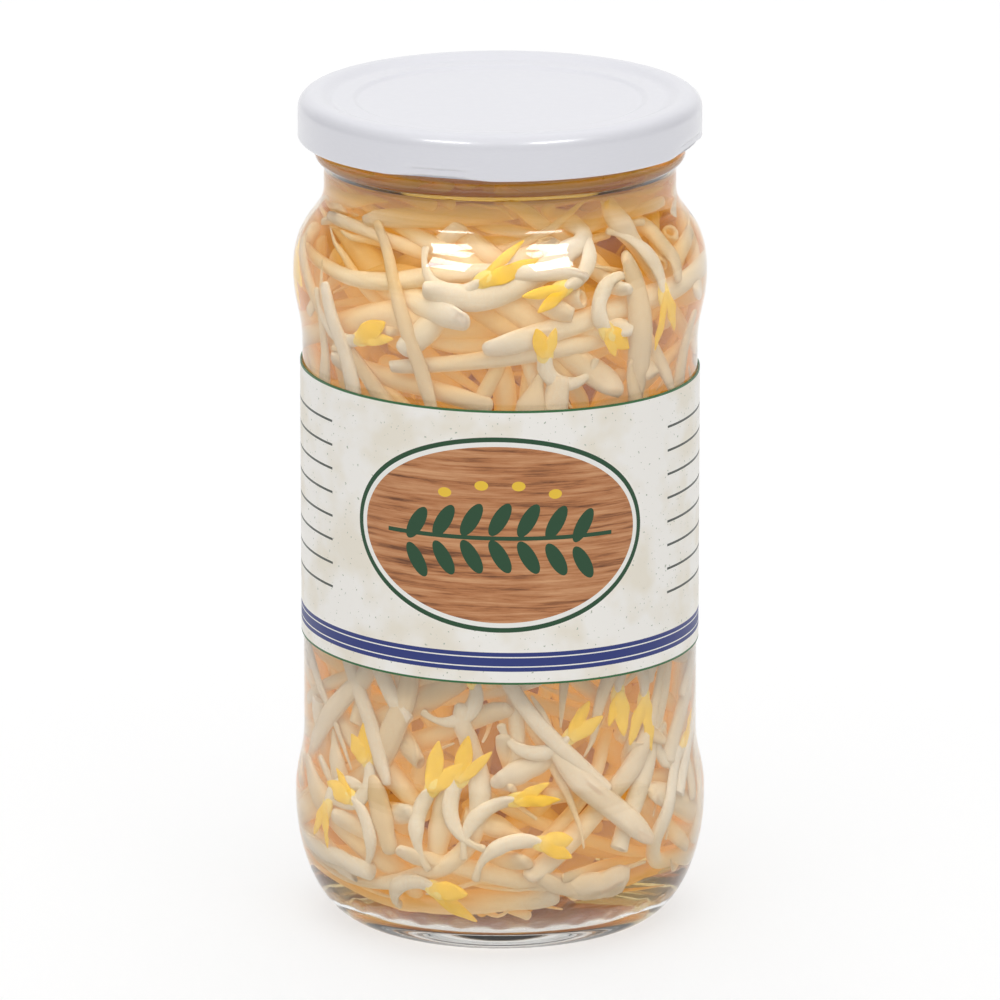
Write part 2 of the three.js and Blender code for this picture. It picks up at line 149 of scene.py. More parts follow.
def turned(name, outline, material, relief=None, steps=TURN_STEPS):
    """A closed solid of revolution. relief(radius, height, angle) returns a new (radius, height)."""
    points = [outline[0]]
    for spot in outline[1:]:
        if math.dist(spot, points[-1]) > 1e-4:
            points.append(spot)
    if points[0][0] > 0 and math.dist(points[0], points[-1]) < 1e-4:
        points.pop()
    vertices, rings = [], []
    for radius, height in points:
        if radius == 0:
            rings.append([len(vertices)] * steps)
            vertices.append(around(0, 0, height))
            continue
        rings.append(list(range(len(vertices), len(vertices) + steps)))
        for step in range(steps):
            angle = 2 * math.pi * step / steps
            r, h = relief(radius, height, angle) if relief else (radius, height)
            vertices.append(around(r, angle, h))
    faces = []
    closed = points[0][0] > 0
    for low in range(len(rings) if closed else len(rings) - 1):
        below, above = rings[low], rings[(low + 1) % len(rings)]
        for step in range(steps):
            after = (step + 1) % steps
            corners = (below[step], below[after], above[after], above[step])
            faces.append(tuple(dict.fromkeys(corners)))
    return new_object(name, vertices, faces, material)


def colour(code):
    """An sRGB hex colour as linear RGBA."""
    channels = [int(code[i:i + 2], 16) / 255 for i in (1, 3, 5)]
    return [c / 12.92 if c <= 0.04045 else ((c + 0.055) / 1.055) ** 2.4 for c in channels] + [1.0]


def add(tree, kind, links=None, **settings):
    """Adds a node. links gives each input socket a value or another node's output."""
    made = tree.nodes.new(kind)
    for name, value in settings.items():
        setattr(made, name, value)
    for socket, value in (links or {}).items():
        if isinstance(value, bpy.types.NodeSocket):
            tree.links.new(value, made.inputs[socket])
        else:
            made.inputs[socket].default_value = value
    return made


def new_material(name):
    material = bpy.data.materials.new(name)
    material.use_nodes = True
    material.node_tree.nodes.clear()
    return material, material.node_tree


def inner_wall(steps):
    """The glass's inside, from the bore's top down to the middle of the floor."""
    bulge, panel = BULGE_RADIUS - WALL, PANEL_RADIUS - WALL
    upper = (bulge, UPPER_BULGE_HEIGHT)
    heel_rise = LOWER_BULGE_HEIGHT - FLOOR_EDGE_HEIGHT
    return [
        *straight((BORE_RADIUS, GLASS_TOP - LIP_ROUNDING), (BORE_RADIUS, NECK_BOTTOM), steps),
        *swell((BORE_RADIUS, NECK_BOTTOM), upper, INNER_NECK_EASE, SHOULDER_EASE, steps * 2),
        *swell(upper, (panel, PANEL_TOP), BULGE_EASE, BULGE_EASE, steps),
        *straight((panel, PANEL_TOP), (panel, PANEL_BOTTOM), steps),
        *swell((panel, PANEL_BOTTOM), (bulge, LOWER_BULGE_HEIGHT), BULGE_EASE, BULGE_EASE, steps),
        *arc(FLOOR_RADIUS, LOWER_BULGE_HEIGHT, bulge - FLOOR_RADIUS, heel_rise, 0, -90, steps * 2),
        *floor_dome(steps),
    ]


def floor_dome(steps):
    """The floor rises gently from the heel to its middle."""
    rise = FLOOR_CENTRE_HEIGHT - FLOOR_EDGE_HEIGHT
    shares = np.linspace(1, 0, steps + 1)
    return [(FLOOR_RADIUS * s, FLOOR_EDGE_HEIGHT + rise * smooth_step(1 - s)) for s in shares]


def jar_outline():
    heel_run = BULGE_RADIUS - HEEL_RADIUS
    bead_run = BEAD_RADIUS - NECK_RADIUS
    bead_end = math.degrees(math.acos((FINISH_RADIUS - NECK_RADIUS) / bead_run))
    lower, upper = (BULGE_RADIUS, LOWER_BULGE_HEIGHT), (BULGE_RADIUS, UPPER_BULGE_HEIGHT)
    lip = GLASS_TOP - LIP_ROUNDING
    base = [(BEARING_INNER_RADIUS * s, PUSH_UP * (1 - s ** 3)) for s in np.linspace(0, 1, 9)]
    bead_top = arc(NECK_RADIUS, BEAD_HEIGHT, bead_run, BEAD_REACH, -90, bead_end, 12)
    return [
        *base,
        *arc(HEEL_RADIUS, LOWER_BULGE_HEIGHT, heel_run, LOWER_BULGE_HEIGHT, -90, 0, 40),
        *swell(lower, (PANEL_RADIUS, PANEL_BOTTOM), BULGE_EASE, BULGE_EASE, 14),
        *straight((PANEL_RADIUS, PANEL_BOTTOM), (PANEL_RADIUS, PANEL_TOP), 10),
        *swell((PANEL_RADIUS, PANEL_TOP), upper, BULGE_EASE, BULGE_EASE, 14),
        *swell(upper, (NECK_RADIUS, NECK_BOTTOM), SHOULDER_EASE, NECK_EASE, 24),
        *straight((NECK_RADIUS, NECK_BOTTOM), bead_top[0], 3),
        *bead_top,
        *straight(bead_top[-1], (FINISH_RADIUS, FINISH_BOTTOM), 2),
        *straight((FINISH_RADIUS, FINISH_BOTTOM), (FINISH_RADIUS, lip), 26),
        *arc(FINISH_RADIUS - LIP_ROUNDING, lip, LIP_ROUNDING, LIP_ROUNDING, 0, 90, 6),
        *arc(BORE_RADIUS + LIP_ROUNDING, lip, LIP_ROUNDING, LIP_ROUNDING, 90, 180, 6),
        *inner_wall(9),
    ]


def jar_relief(radius, height, angle):
    """Raises the threads on the finish and the mould's dots on the heel, and waves the wall."""
    if abs(radius - FINISH_RADIUS) < 1e-3 and height >= FINISH_BOTTOM:
        for lug in LUG_ANGLES:
            offset = wrapped(angle - lug)
            fade = min((offset - THREAD_START) / THREAD_FADE, (THREAD_END - offset) / THREAD_FADE)
            over = height - THREAD_UNDERSIDE - THREAD_LEAD * offset / (2 * math.pi)
            foot = smooth_step(over / THREAD_FOOT_ROUNDING)
            swelling = min(foot, smooth_step((THREAD_HEIGHT - over) / THREAD_TOP_ROUNDING))
            radius = max(radius, FINISH_RADIUS + THREAD_DEPTH * swelling * smooth_step(fade))
    if radius > WAVED_WALL:
        low_fade = smooth_step((height - WAVE_BOTTOM) / WAVE_FADE)
        fade = low_fade * smooth_step((WAVE_TOP - height) / WAVE_FADE)
        wave = math.sin(5 * angle + height / 6) * math.sin(height / 9 - 3 * angle)
        radius -= WAVE_DEPTH * fade * (1 + wave) / 2
    lowest, highest = HEEL_DOT_BAND
    heel_outside = lowest < height < highest and radius > HEEL_RADIUS + HEEL_DOT_INSET
    if heel_outside and abs(wrapped(angle)) < HEEL_DOT_SPAN:
        nearest = round(angle / HEEL_DOT_PITCH) * HEEL_DOT_PITCH
        away = math.hypot((angle - nearest) * radius, (height - HEEL_DOT_HEIGHT) * 1.3)
        radius += HEEL_DOT_RISE * smooth_step(1.4 - away / HEEL_DOT_SIZE)
    return radius, height


def clear_surface(tree, tint, ior):
    """A smooth clear skin. Light on its way to what lies behind passes it straight, unshaded."""
    clear = add(tree, "ShaderNodeBsdfPrincipled", {
        "Base Color": colour(tint), "Roughness": 0.0, "IOR": ior, "Transmission Weight": 1.0,
    })
    passing = add(tree, "ShaderNodeBsdfTransparent", {"Color": colour("#ffffff")})
    light_path = add(tree, "ShaderNodeLightPath")
    return add(tree, "ShaderNodeMixShader", {
        0: light_path.outputs["Is Shadow Ray"], 1: clear.outputs[0], 2: passing.outputs[0],
    }).outputs[0]


# Soda-lime glass, blown: clear with the faintest green, fire-polished smooth, so that lamps show
# as crisp streaks on it.
glass, tree = new_material("soda_lime_glass_blown")
add(tree, "ShaderNodeOutputMaterial", {"Surface": clear_surface(tree, "#fafcfa", 1.52)})

jar = turned("jar_glass", jar_outline(), glass, jar_relief)
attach(jar, "jar")
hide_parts("glass_jar")

# ---------------------------------------------------------------------------------------
# Brine
# Salted water with a little vinegar, poured in hot: it wets the glass everywhere and stands
# just under the lid.
# ---------------------------------------------------------------------------------------

BRINE_TOP = 129.5
BRINE_EDGE = 0.2  # the wall's last point under the surface is at least this far down
WETTING = 0.05  # how far the liquid's skin lies inside the glass, so that no air shows between

# Thin amber liquid: its colour deepens with each millimetre that is seen through it.
brine_liquid, tree = new_material("brine_still_liquid")
amber = add(tree, "ShaderNodeVolumeAbsorption", {"Color": colour("#f9e38e"), "Density": 58.0})
add(tree, "ShaderNodeOutputMaterial", {
    "Surface": clear_surface(tree, "#ffffff", 1.34), "Volume": amber.outputs[0],
})


def brine_outline():
    wall = [(r + WETTING if r > 0 else 0.0, h - WETTING) for r, h in inner_wall(10)]
    below_top = [spot for spot in wall if spot[1] < BRINE_TOP - BRINE_EDGE]
    return [*reversed(below_top), (BORE_RADIUS + WETTING, BRINE_TOP), (0.0, BRINE_TOP)]


brine = turned("brine_liquid", brine_outline(), brine_liquid)
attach(brine, "jar")
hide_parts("brine")

# ---------------------------------------------------------------------------------------
# Bean sprouts
# Several hundred mung bean sprouts, blanched and packed by hand: limp white stems that thin
# out to a root, pressed against the glass and each other. Some are broken and hollow.
# ---------------------------------------------------------------------------------------

LINK = 2.9  # spacing of the points that a stem is bent by
LOOSE_RADIUS = 1.85
STEM_RADII = (1.1, 2.2)
STEM_LENGTHS = (32, 74)
STEM_HEIGHTS = (9, 125)  # between which a stem's course starts
STEM_CURL = 0.022  # radians that a stem may turn in each millimetre
STEM_CURL_CHANGE = 0.0015
HEADING_SPREAD = 0.8  # radians by which stems stray from the way their neighbours lie
FIRST_DEPTH = 2.0  # the outermost stems lie this far inside the glass, and the rest go deeper
DEPTH_SPAN = 19
AXIS_CLEARANCE = 3
LOWEST_COURSE = 8
HIGHEST_COURSE = 126
LEVELLING_ROOM = 14  # a stem levels out over this distance from the lowest or highest course
PACKED_COUNT = 580
NECK_COUNT = 18  # stems that lie round the neck, under the surface
NECK_HEIGHTS = (121.5, 128)
NECK_LOWEST = 119
NECK_DEPTHS = (1.8, 4.5)
NECK_CLIMB = 0.12
NECK_LINKS = (9, 18)
PACKING_ROUNDS = 45
PACKING_REACH = 4.0  # stems further apart than this can't touch
SQUEEZE = 0.8  # limp stems settle this close, as a share of their two radii
PRESSURE = 0.06  # how far each round presses every stem towards the glass
LONGEST_PUSH = 0.9  # in one round
STRAIGHTENING = 0.5  # share of its sharp bends that a stem loses in a round
SWEEP = 0.3  # and of its wider ones
LENGTH_ROUNDS = 4
LOOSE_WEIGHT = 6.0  # the outermost stems hardly give way to the others
FIXED_WEIGHT = 1e6
GLASS_CLEARANCE = 0.12
SURFACE_MARGIN = 0.9  # stems stay this far under the surface of the brine
PRESSED_FLAT = 0.6  # thickness over width of a stem that lies against the glass
TAPER_PLACES = (0, 0.5, 0.85, 1)  # shares of a stem's length at which the two tapers are given
BROKEN_TAPER = (1, 1, 0.9, 0.75)
ROOT_TAPER = (1, 1, 0.45)  # and then the root's own thinness
PRESSED_NEAR = (0.3, 2.5)  # gaps to the glass at which a stem is quite flat, and round again
WIDENING = 0.55  # how much of what a stem loses in thickness it gains in width
SHADED_HEIGHT = 119.5  # the lid shades what is higher, which then counts as deeper in
SHADE_DEPTH = 1.3  # millimetres of depth for each millimetre above that
wall_heights, wall_radii = zip(*sorted((h, r) for r, h in inner_wall(24)[:-24]))


def bore_at(height):
    """Inner radius of the glass at a height."""
    return np.interp(height, wall_heights, wall_radii)


def cad_stem_centres(node):
    """The middle line of a stem's five-sided solid, in millimetres, from end to end."""
    sides = 5
    corners = np.array([node.matrix_world @ v.co for v in node.data.vertices]) / MM
    corners = np.unique(np.round(corners, 3), axis=0)
    middle = corners.mean(axis=0)
    axis = np.linalg.svd(corners - middle)[2][0]
    ordered = corners[np.argsort((corners - middle) @ axis)]
    rings = [ordered[i:i + sides].mean(axis=0) for i in range(0, len(ordered), sides)]
    return np.array(rings)


def evenly(points, spacing):
    """Points the given distance apart along a smooth line through the given ones."""
    points = np.asarray(points, float)
    steps = np.linalg.norm(np.diff(points, axis=0), axis=1)
    along = np.concatenate([[0], np.cumsum(steps)])
    stations = np.linspace(0, along[-1], max(4, round(along[-1] / spacing) + 1))
    return np.stack([np.interp(stations, along, points[:, k]) for k in range(3)], 1)


def random_course(rng, depth):
    """A limp stem somewhere in the jar, lying along the wall at a depth."""
    length = rng.uniform(*STEM_LENGTHS)
    angle, height = rng.uniform(0, 2 * math.pi), rng.uniform(*STEM_HEIGHTS)
    swirl = 1.1 * math.sin(2 * angle + 0.06 * height + 0.8) + 0.8 * math.sin(3 * angle - 0.09 * height)
    heading = swirl + rng.gauss(0, HEADING_SPREAD) + rng.choice([0, math.pi])
    curl = rng.uniform(-STEM_CURL, STEM_CURL)
    change = rng.uniform(-STEM_CURL_CHANGE, STEM_CURL_CHANGE)
    points = []
    for _ in range(round(length / LINK) + 1):
        radius = max(float(bore_at(height)) - depth, AXIS_CLEARANCE)
        points.append((radius * math.sin(angle), -radius * math.cos(angle), height))
        room = HIGHEST_COURSE - height if math.sin(heading) > 0 else height - LOWEST_COURSE
        climb = math.sin(heading) * min(max(room / LEVELLING_ROOM, 0), 1)
        angle += LINK * math.copysign(math.sqrt(1 - climb ** 2), math.cos(heading)) / radius
        height += LINK * climb
        heading += curl * LINK
        curl += change * LINK
    return np.array(points)


def neck_course(rng):
    """A stem that lies nearly level round the neck, just inside the glass."""
    angle, height = rng.uniform(0, 2 * math.pi), rng.uniform(*NECK_HEIGHTS)
    climb, depth = rng.gauss(0, NECK_CLIMB), rng.uniform(*NECK_DEPTHS)
    points = []
    for _ in range(rng.randint(*NECK_LINKS)):
        radius = float(bore_at(height)) - depth
        points.append((radius * math.sin(angle), -radius * math.cos(angle), height))
        angle += LINK / radius
        height = min(max(height + climb * LINK, NECK_LOWEST), NECK_HEIGHTS[1])
    return np.array(points)


def floor_at(radius):
    """Height of the glass floor and heel at a radius."""
    heel = np.clip((radius - FLOOR_RADIUS) / (BULGE_RADIUS - WALL - FLOOR_RADIUS), 0, 1)
    rise = LOWER_BULGE_HEIGHT - FLOOR_EDGE_HEIGHT
    dome = np.clip(1 - radius / FLOOR_RADIUS, 0, 1) * (FLOOR_CENTRE_HEIGHT - FLOOR_EDGE_HEIGHT)
    return FLOOR_EDGE_HEIGHT + dome + rise * (1 - np.sqrt(1 - heel ** 2))


def pack(courses, thicknesses, weights):
    """Pushes stems out of each other and inside the glass, keeping their lengths and soft bends."""
    points = np.concatenate(courses)
    owner = np.concatenate([np.full(len(c), i) for i, c in enumerate(courses)])
    thickness = np.array(thicknesses)[owner]
    mobility = 1 / np.array(weights)[owner]
    pairs = np.flatnonzero(owner[1:] == owner[:-1])
    middles = np.flatnonzero(owner[2:] == owner[:-2]) + 1
    inner = np.flatnonzero(owner[4:] == owner[:-4]) + 2
    rest = np.linalg.norm(points[pairs + 1] - points[pairs], axis=1)
    for _ in range(PACKING_ROUNDS):
        tree = kdtree.KDTree(len(points))
        for i, p in enumerate(points):
            tree.insert(p, i)
        tree.balance()
        push = np.zeros_like(points)
        for i, p in enumerate(points):
            for other, j, distance in tree.find_range(p, PACKING_REACH):
                if j <= i or owner[j] == owner[i]:
                    continue
                overlap = (thickness[i] + thickness[j]) * SQUEEZE - distance
                if overlap > 0:
                    share = 0.5 * overlap / max(distance, 0.05)
                    gap = (p - np.array(other)) * share
                    push[i] += gap
                    push[j] -= gap
        from_axis = np.maximum(np.linalg.norm(points[:, :2], axis=1), 1)[:, None]
        push[:, :2] += PRESSURE * points[:, :2] / from_axis
        size = np.linalg.norm(push, axis=1, keepdims=True)
        push *= np.minimum(1, LONGEST_PUSH / np.maximum(size, 1e-6))
        points = points + push * mobility[:, None]
        bend = (points[middles - 1] + points[middles + 1]) / 2 - points[middles]
        points[middles] += STRAIGHTENING * bend
        sweep = (points[inner - 2] + points[inner + 2]) / 2 - points[inner]
        points[inner] += SWEEP * sweep
        for _ in range(LENGTH_ROUNDS):
            step = points[pairs + 1] - points[pairs]
            length = np.linalg.norm(step, axis=1)
            fix = step * (0.5 * (length - rest) / np.maximum(length, 1e-6))[:, None]
            move = np.zeros_like(points)
            np.add.at(move, pairs, fix)
            np.add.at(move, pairs + 1, -fix)
            points = points + 0.5 * move
        points[:, 2] = np.minimum(points[:, 2], BRINE_TOP - SURFACE_MARGIN - thickness)
        radius = np.linalg.norm(points[:, :2], axis=1)
        most = bore_at(points[:, 2]) - thickness - GLASS_CLEARANCE
        points[:, :2] *= np.minimum(1, most / np.maximum(radius, 1e-6))[:, None]
        radius = np.minimum(radius, most)
        points[:, 2] = np.maximum(points[:, 2], floor_at(radius + thickness * 0.7) + thickness)
    return [points[owner == i] for i in range(len(courses))]


def curve_through(points, per_link):
    """A smooth line through the points, with some rings to each link."""
    padded = np.concatenate([[2 * points[0] - points[1]], points, [2 * points[-1] - points[-2]]])
    line = []
    for i in range(1, len(padded) - 2):
        a, b, c, d = padded[i - 1:i + 3]
        for t in np.arange(per_link) / per_link:
            line.append(0.5 * (2 * b + (c - a) * t + (2 * a - 5 * b + 4 * c - d) * t * t
                               + (3 * b - a - 3 * c + d) * t ** 3))
    return np.array([*line, points[-1]])


class Growth:
    """Gathers stems or leaves into one mesh. Each point keeps its tone, its place along the stem
    or leaf, and its depth inside the glass."""

    def __init__(self):
        self.vertices, self.faces, self.tones, self.alongs, self.depths = [], [], [], [], []

    def loft(self, rings, tone, alongs):
        """Joins rings that have the same number of corners and closes both ends."""
        start, sides = len(self.vertices), len(rings[0])
        for ring, along in zip(rings, alongs):
            self.vertices.extend(map(tuple, ring * MM))
            self.tones.extend([tone] * sides)
            self.alongs.extend([along] * sides)
            shaded = SHADE_DEPTH * np.maximum(ring[:, 2] - SHADED_HEIGHT, 0)
            self.depths.extend(bore_at(ring[:, 2]) - np.linalg.norm(ring[:, :2], axis=1) + shaded)
        for low in range(len(rings) - 1):
            for side in range(sides):
                a, b = start + low * sides + side, start + low * sides + (side + 1) % sides
                self.faces.append((a, b, b + sides, a + sides))
        last = start + (len(rings) - 1) * sides
        self.faces.append(tuple(start + side for side in reversed(range(sides))))
        self.faces.append(tuple(last + side for side in range(sides)))

    def finish(self, name, material):
        piece = new_object(name, self.vertices, self.faces, material)
        for label, values in (("tone", self.tones), ("along", self.alongs), ("depth", self.depths)):
            layer = piece.data.attributes.new(label, "FLOAT", "POINT")
            layer.data.foreach_set("value", values)
        return piece


def frames_along(line):
    """The way along a line, and a way across it that keeps as level with the glass as it can."""
    along = np.gradient(line, axis=0)
    along /= np.linalg.norm(along, axis=1, keepdims=True)
    side = np.cross(along[0], (0.3, 0.2, 0.93))
    sides = []
    for direction, spot in zip(along, line):
        outward = np.array([spot[0], spot[1], 0.0]) / max(math.hypot(spot[0], spot[1]), 1e-6)
        level = np.cross(outward, direction)
        level *= 1 if level @ side >= 0 else -1
        side = side - direction * (side @ direction)
        side = side / np.linalg.norm(side) + 0.6 * level
        side /= np.linalg.norm(side)
        sides.append(side)
    return along, np.array(sides)


def grow_stem(growth, points, radius, rng, root, hollow, thin=0.2, sides=9, per_link=2, tone=None):
    """A stem: full where the shoot was, thinning out to its root or broken off blunt."""
    line = curve_through(points, per_link)
    along, side = frames_along(line)
    other = np.cross(along, side)
    share = np.linspace(0, 1, len(line))
    full = 0.86 + 0.14 * np.sin(math.pi * np.clip(share * 1.3, 0, 1))
    taper = np.interp(share, TAPER_PLACES, (*ROOT_TAPER, thin) if root else BROKEN_TAPER)
    uneven = 1 + 0.05 * np.sin(share * rng.uniform(9, 20) + rng.uniform(0, 6))
    radii = radius * full * taper * uneven
    depth = bore_at(line[:, 2]) - np.linalg.norm(line[:, :2], axis=1)
    flat = np.interp(depth - radius, PRESSED_NEAR, [PRESSED_FLAT, 0.95])
    wide = 1 + WIDENING * (1 - flat)
    outward = line * (1, 1, 0) / np.maximum(np.linalg.norm(line[:, :2], axis=1, keepdims=True), 1e-6)
    line = line + outward * ((1 - flat) * radii)[:, None]
    turns = np.linspace(0, 2 * math.pi, sides, endpoint=False)

    def ring(i, scale, shift=0.0):
        level = np.cos(turns)[:, None] * side[i] * wide[i]
        through = np.sin(turns)[:, None] * other[i] * flat[i]
        return line[i] + along[i] * shift + (level + through) * radii[i] * scale

    rings = [ring(i, 1) for i in range(len(line))]
    places = list(share)
    if hollow:  # the broken end shows the tube's wall and a little of its inside
        reach = radii[0]
        mouth = [ring(0, 0.42, reach * 1.5), ring(0, 0.5, reach * 0.2), ring(0, 0.62, -reach * 0.12),
                 ring(0, 0.86, -reach * 0.16)]
        rings, places = [*mouth, *rings], [0.0] * len(mouth) + places
    else:
        tip = radii[0]
        rings = [ring(0, 0.4, -tip * 0.55), ring(0, 0.8, -tip * 0.35), *rings]
        places = [0.0, 0.0, *places]
    tail = radii[-1]
    rings += [ring(-1, 0.8, tail * 0.4), ring(-1, 0.35, tail * 0.65)]
    places += [1.0, 1.0]
    growth.loft(rings, rng.random() if tone is None else tone, places)


# Blanched stem flesh: milky like boiled noodle, cream to beige, mottled, with faint fibres, and
# browner towards the root. Deeper in and under the lid its colour is painted a darker amber: painted
# shade with the brine's tint. Packed flesh passes light on from stem to stem: a dim painted glow
# stands for that, strongest some millimetres in.
MOTTLE_SIZE = 5
FIBRE_SIZE = 0.9  # real fibres are finer and wouldn't show
FIBRE_RELIEF = 0.15
# depths over which the stem colour is painted from cream to shaded amber
PAINTED_SHADE_DEPTHS = (3.0, 8.0)
GLOW_DEPTH = 16.0
stem_flesh, tree = new_material("sprout_stem_blanched")
stem_flesh.cycles.emission_sampling = "NONE"  # the glow is too dim to be treated as a lamp
tone = add(tree, "ShaderNodeAttribute", attribute_name="tone")
along = add(tree, "ShaderNodeAttribute", attribute_name="along")
body = add(tree, "ShaderNodeValToRGB", {0: tone.outputs["Fac"]})
body.color_ramp.elements[0].color = colour("#efd4ac")
body.color_ramp.elements[1].color = colour("#fbf1e5")
middle = body.color_ramp.elements.new(0.45)
middle.color = colour("#f9e6cd")
mottle = add(tree, "ShaderNodeTexNoise", {"Scale": 1 / (MOTTLE_SIZE * MM), "Detail": 3.0})
mottled = add(tree, "ShaderNodeMix", {
    0: mottle.outputs["Fac"], 6: body.outputs["Color"], 7: colour("#f8e6cd"),
}, data_type="RGBA", blend_type="MULTIPLY")
rootward = add(tree, "ShaderNodeMapRange", {0: along.outputs["Fac"], 1: 0.7, 2: 1.0, 3: 0.0, 4: 0.5})
coloured = add(tree, "ShaderNodeMix", {
    0: rootward.outputs[0], 6: mottled.outputs[2], 7: colour("#e6c79c"),
}, data_type="RGBA")
depth = add(tree, "ShaderNodeAttribute", attribute_name="depth")
painted_shade_share = add(tree, "ShaderNodeMapRange", {
    0: depth.outputs["Fac"], 1: PAINTED_SHADE_DEPTHS[0], 2: PAINTED_SHADE_DEPTHS[1], 3: 0.0, 4: 1.0,
})
# painted shade: deeper stems, and those under the lid, darken to amber for less light and more brine
painted_shade_colour = add(tree, "ShaderNodeMix", {
    0: painted_shade_share.outputs[0], 6: coloured.outputs[2], 7: colour("#a2742a"),
}, data_type="RGBA")
fibres = add(tree, "ShaderNodeTexNoise", {"Scale": 1 / (FIBRE_SIZE * MM), "Detail": 2.0})
fibre_bump = add(tree, "ShaderNodeBump", {
    "Height": fibres.outputs["Fac"], "Strength": 0.25, "Distance": FIBRE_RELIEF * MM,
})
# painted glow: stems give off a dim warm light of their own, strongest some millimetres in
deepness = add(tree, "ShaderNodeMapRange", {
    0: depth.outputs["Fac"], 1: 0.0, 2: GLOW_DEPTH, 3: 0.0, 4: 1.0,
})
glow = add(tree, "ShaderNodeValToRGB", {0: deepness.outputs[0]})
glow.color_ramp.elements[0].position = 0.1
glow.color_ramp.elements[0].color = colour("#473c2e")
glow.color_ramp.elements[1].color = colour("#70440f")
strongest = glow.color_ramp.elements.new(0.42)
strongest.color = colour("#ab7c1c")
flesh = add(tree, "ShaderNodeBsdfPrincipled", {
    "Base Color": painted_shade_colour.outputs[2], "Roughness": 0.6, "IOR": 1.4, "Specular IOR Level": 0.04,
    "Normal": fibre_bump.outputs["Normal"],
    "Emission Color": glow.outputs["Color"], "Emission Strength": 1.0,
})
add(tree, "ShaderNodeOutputMaterial", {"Surface": flesh.outputs[0]})

POCKET_TO_GLASS = 1.3  # how much further out the glass is than the solid stems' pocket
LEAF_LENGTH = 9.0
LEAF_SPREAD = 0.3  # radians from the way the bud points to each of its leaves
LEAF_DEPTH = 0.75
LEAF_ROOM = 1.5  # stems keep this far from the middle of a leaf
CROOK_DEPTH = 1.9
CROOK_STEP = 1.7
CROOK_POINTS = 9
CROOK_CURLS = (0.12, 0.42)  # radians that the neck turns at each step
CROOK_CEILING = 122
CROOK_RADIUS = 1.15
# Where leaves show at the glass: degrees round, height, degrees from level in which tips point.
BUDS = [
    (14, 102, 90), (33, 106, -55), (56, 110, -80), (-6, 114, 35), (-13, 30, 62), (-46, 31, 110),
    (-62, 22, 250), (12, 20, -15), (51, 42, 265), (22, 37, 40), (120, 104, 70), (165, 28, 150),
    (-150, 108, 300), (-105, 24, 20),
]
EXTRA_BUDS = [  # more buds, which no solid stands for
    (-50, 24, 150), (-22, 28, 60), (-22, 12, -20), (40, 44, -100), (4, 27, 10), (-8, 47, 100),
    (20, 113, 200), (-48, 103, 20), (74, 30, 40), (100, 40, -60), (140, 112, 30), (-120, 34, 160),
    (-90, 112, -40), (-165, 22, 70), (-135, 45, 10),
]


def blade_course(angle, height, points_to, length):
    """The middle line of a leaf that lies against the glass, from its base to its tip."""
    course = []
    for reach in np.linspace(0, length, 10):
        level = height + reach * math.sin(points_to)
        radius = float(bore_at(level)) - LEAF_DEPTH
        turn = angle + reach * math.cos(points_to) / radius
        course.append((radius * math.sin(turn), -radius * math.cos(turn), level))
    return np.array(course)


def crook_course(angle, height, points_to, curl):
    """The thin bent neck that a bud hangs by, from its base round and down, just inside the glass."""
    course, heading = [], points_to + math.pi
    for _ in range(CROOK_POINTS):
        radius = float(bore_at(height)) - CROOK_DEPTH
        course.append((radius * math.sin(angle), -radius * math.cos(angle), height))
        angle += CROOK_STEP * math.cos(heading) / radius
        height = min(max(height + CROOK_STEP * math.sin(heading), LOWEST_COURSE), CROOK_CEILING)
        heading += curl
    return np.array(course)


def pressed_out(points):
    """Moved straight out from the jar's axis, up against the glass."""
    radius = np.linalg.norm(points[:, :2], axis=1, keepdims=True)
    return np.concatenate([points[:, :2] * (radius + POCKET_TO_GLASS) / radius, points[:, 2:]], 1)


rng = random.Random(7)
stem_nodes = sorted(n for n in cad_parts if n.startswith("sprout_"))
leaf_nodes = sorted(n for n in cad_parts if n.startswith("leaves_"))
blades, crooks = [], []
for around_degrees, height, points_degrees in BUDS + EXTRA_BUDS:
    angle, points_to = math.radians(around_degrees), math.radians(points_degrees)
    curl = rng.choice([-1, 1]) * rng.uniform(*CROOK_CURLS)
    crooks.append(crook_course(angle, height, points_to, curl))
    for spread in (-LEAF_SPREAD, LEAF_SPREAD):
        way = points_to + spread * rng.uniform(0.5, 1.3)
        length = LEAF_LENGTH * rng.uniform(0.55, 1.1)
        blades.append(blade_course(angle, height, way, length))
loose_courses = [evenly(pressed_out(cad_stem_centres(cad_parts[n])), LINK) for n in stem_nodes]
depths = [FIRST_DEPTH + DEPTH_SPAN * (i / PACKED_COUNT) ** 2 for i in range(PACKED_COUNT)]
packed_courses = [random_course(rng, depth) for depth in depths]
neck_rng = random.Random(11)
packed_courses += [neck_course(neck_rng) for _ in range(NECK_COUNT)]
thicknesses = [LOOSE_RADIUS] * len(loose_courses) + [rng.uniform(*STEM_RADII) for _ in packed_courses]
weights = [LOOSE_WEIGHT] * len(loose_courses) + [1.0] * len(packed_courses)
settled = pack(  # the leaves and the buds' necks hold their places, and the stems make room
    loose_courses + packed_courses + [b[::3] for b in blades] + [c[1:] for c in crooks],
    thicknesses + [LEAF_ROOM] * len(blades) + [CROOK_RADIUS] * len(crooks),
    weights + [FIXED_WEIGHT] * (len(blades) + len(crooks)),
)
courses = settled[:len(thicknesses)]

for name, course, thickness in zip(stem_nodes, courses, thicknesses):
    growth = Growth()
    root, hollow = rng.random() < 0.5, rng.random() < 0.4
    grow_stem(growth, course, thickness, rng, root, hollow, sides=12, per_link=3)
    stem = growth.finish(f"stem_{name[-2:]}", stem_flesh)
    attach(stem, "jar")
    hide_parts(name)

growth = Growth()
for crook in crooks:
    grow_stem(growth, crook, CROOK_RADIUS, rng, root=True, hollow=False, thin=0.6, sides=10, tone=0.9)
bud_necks = growth.finish("bud_necks", stem_flesh)
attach(bud_necks, "jar")

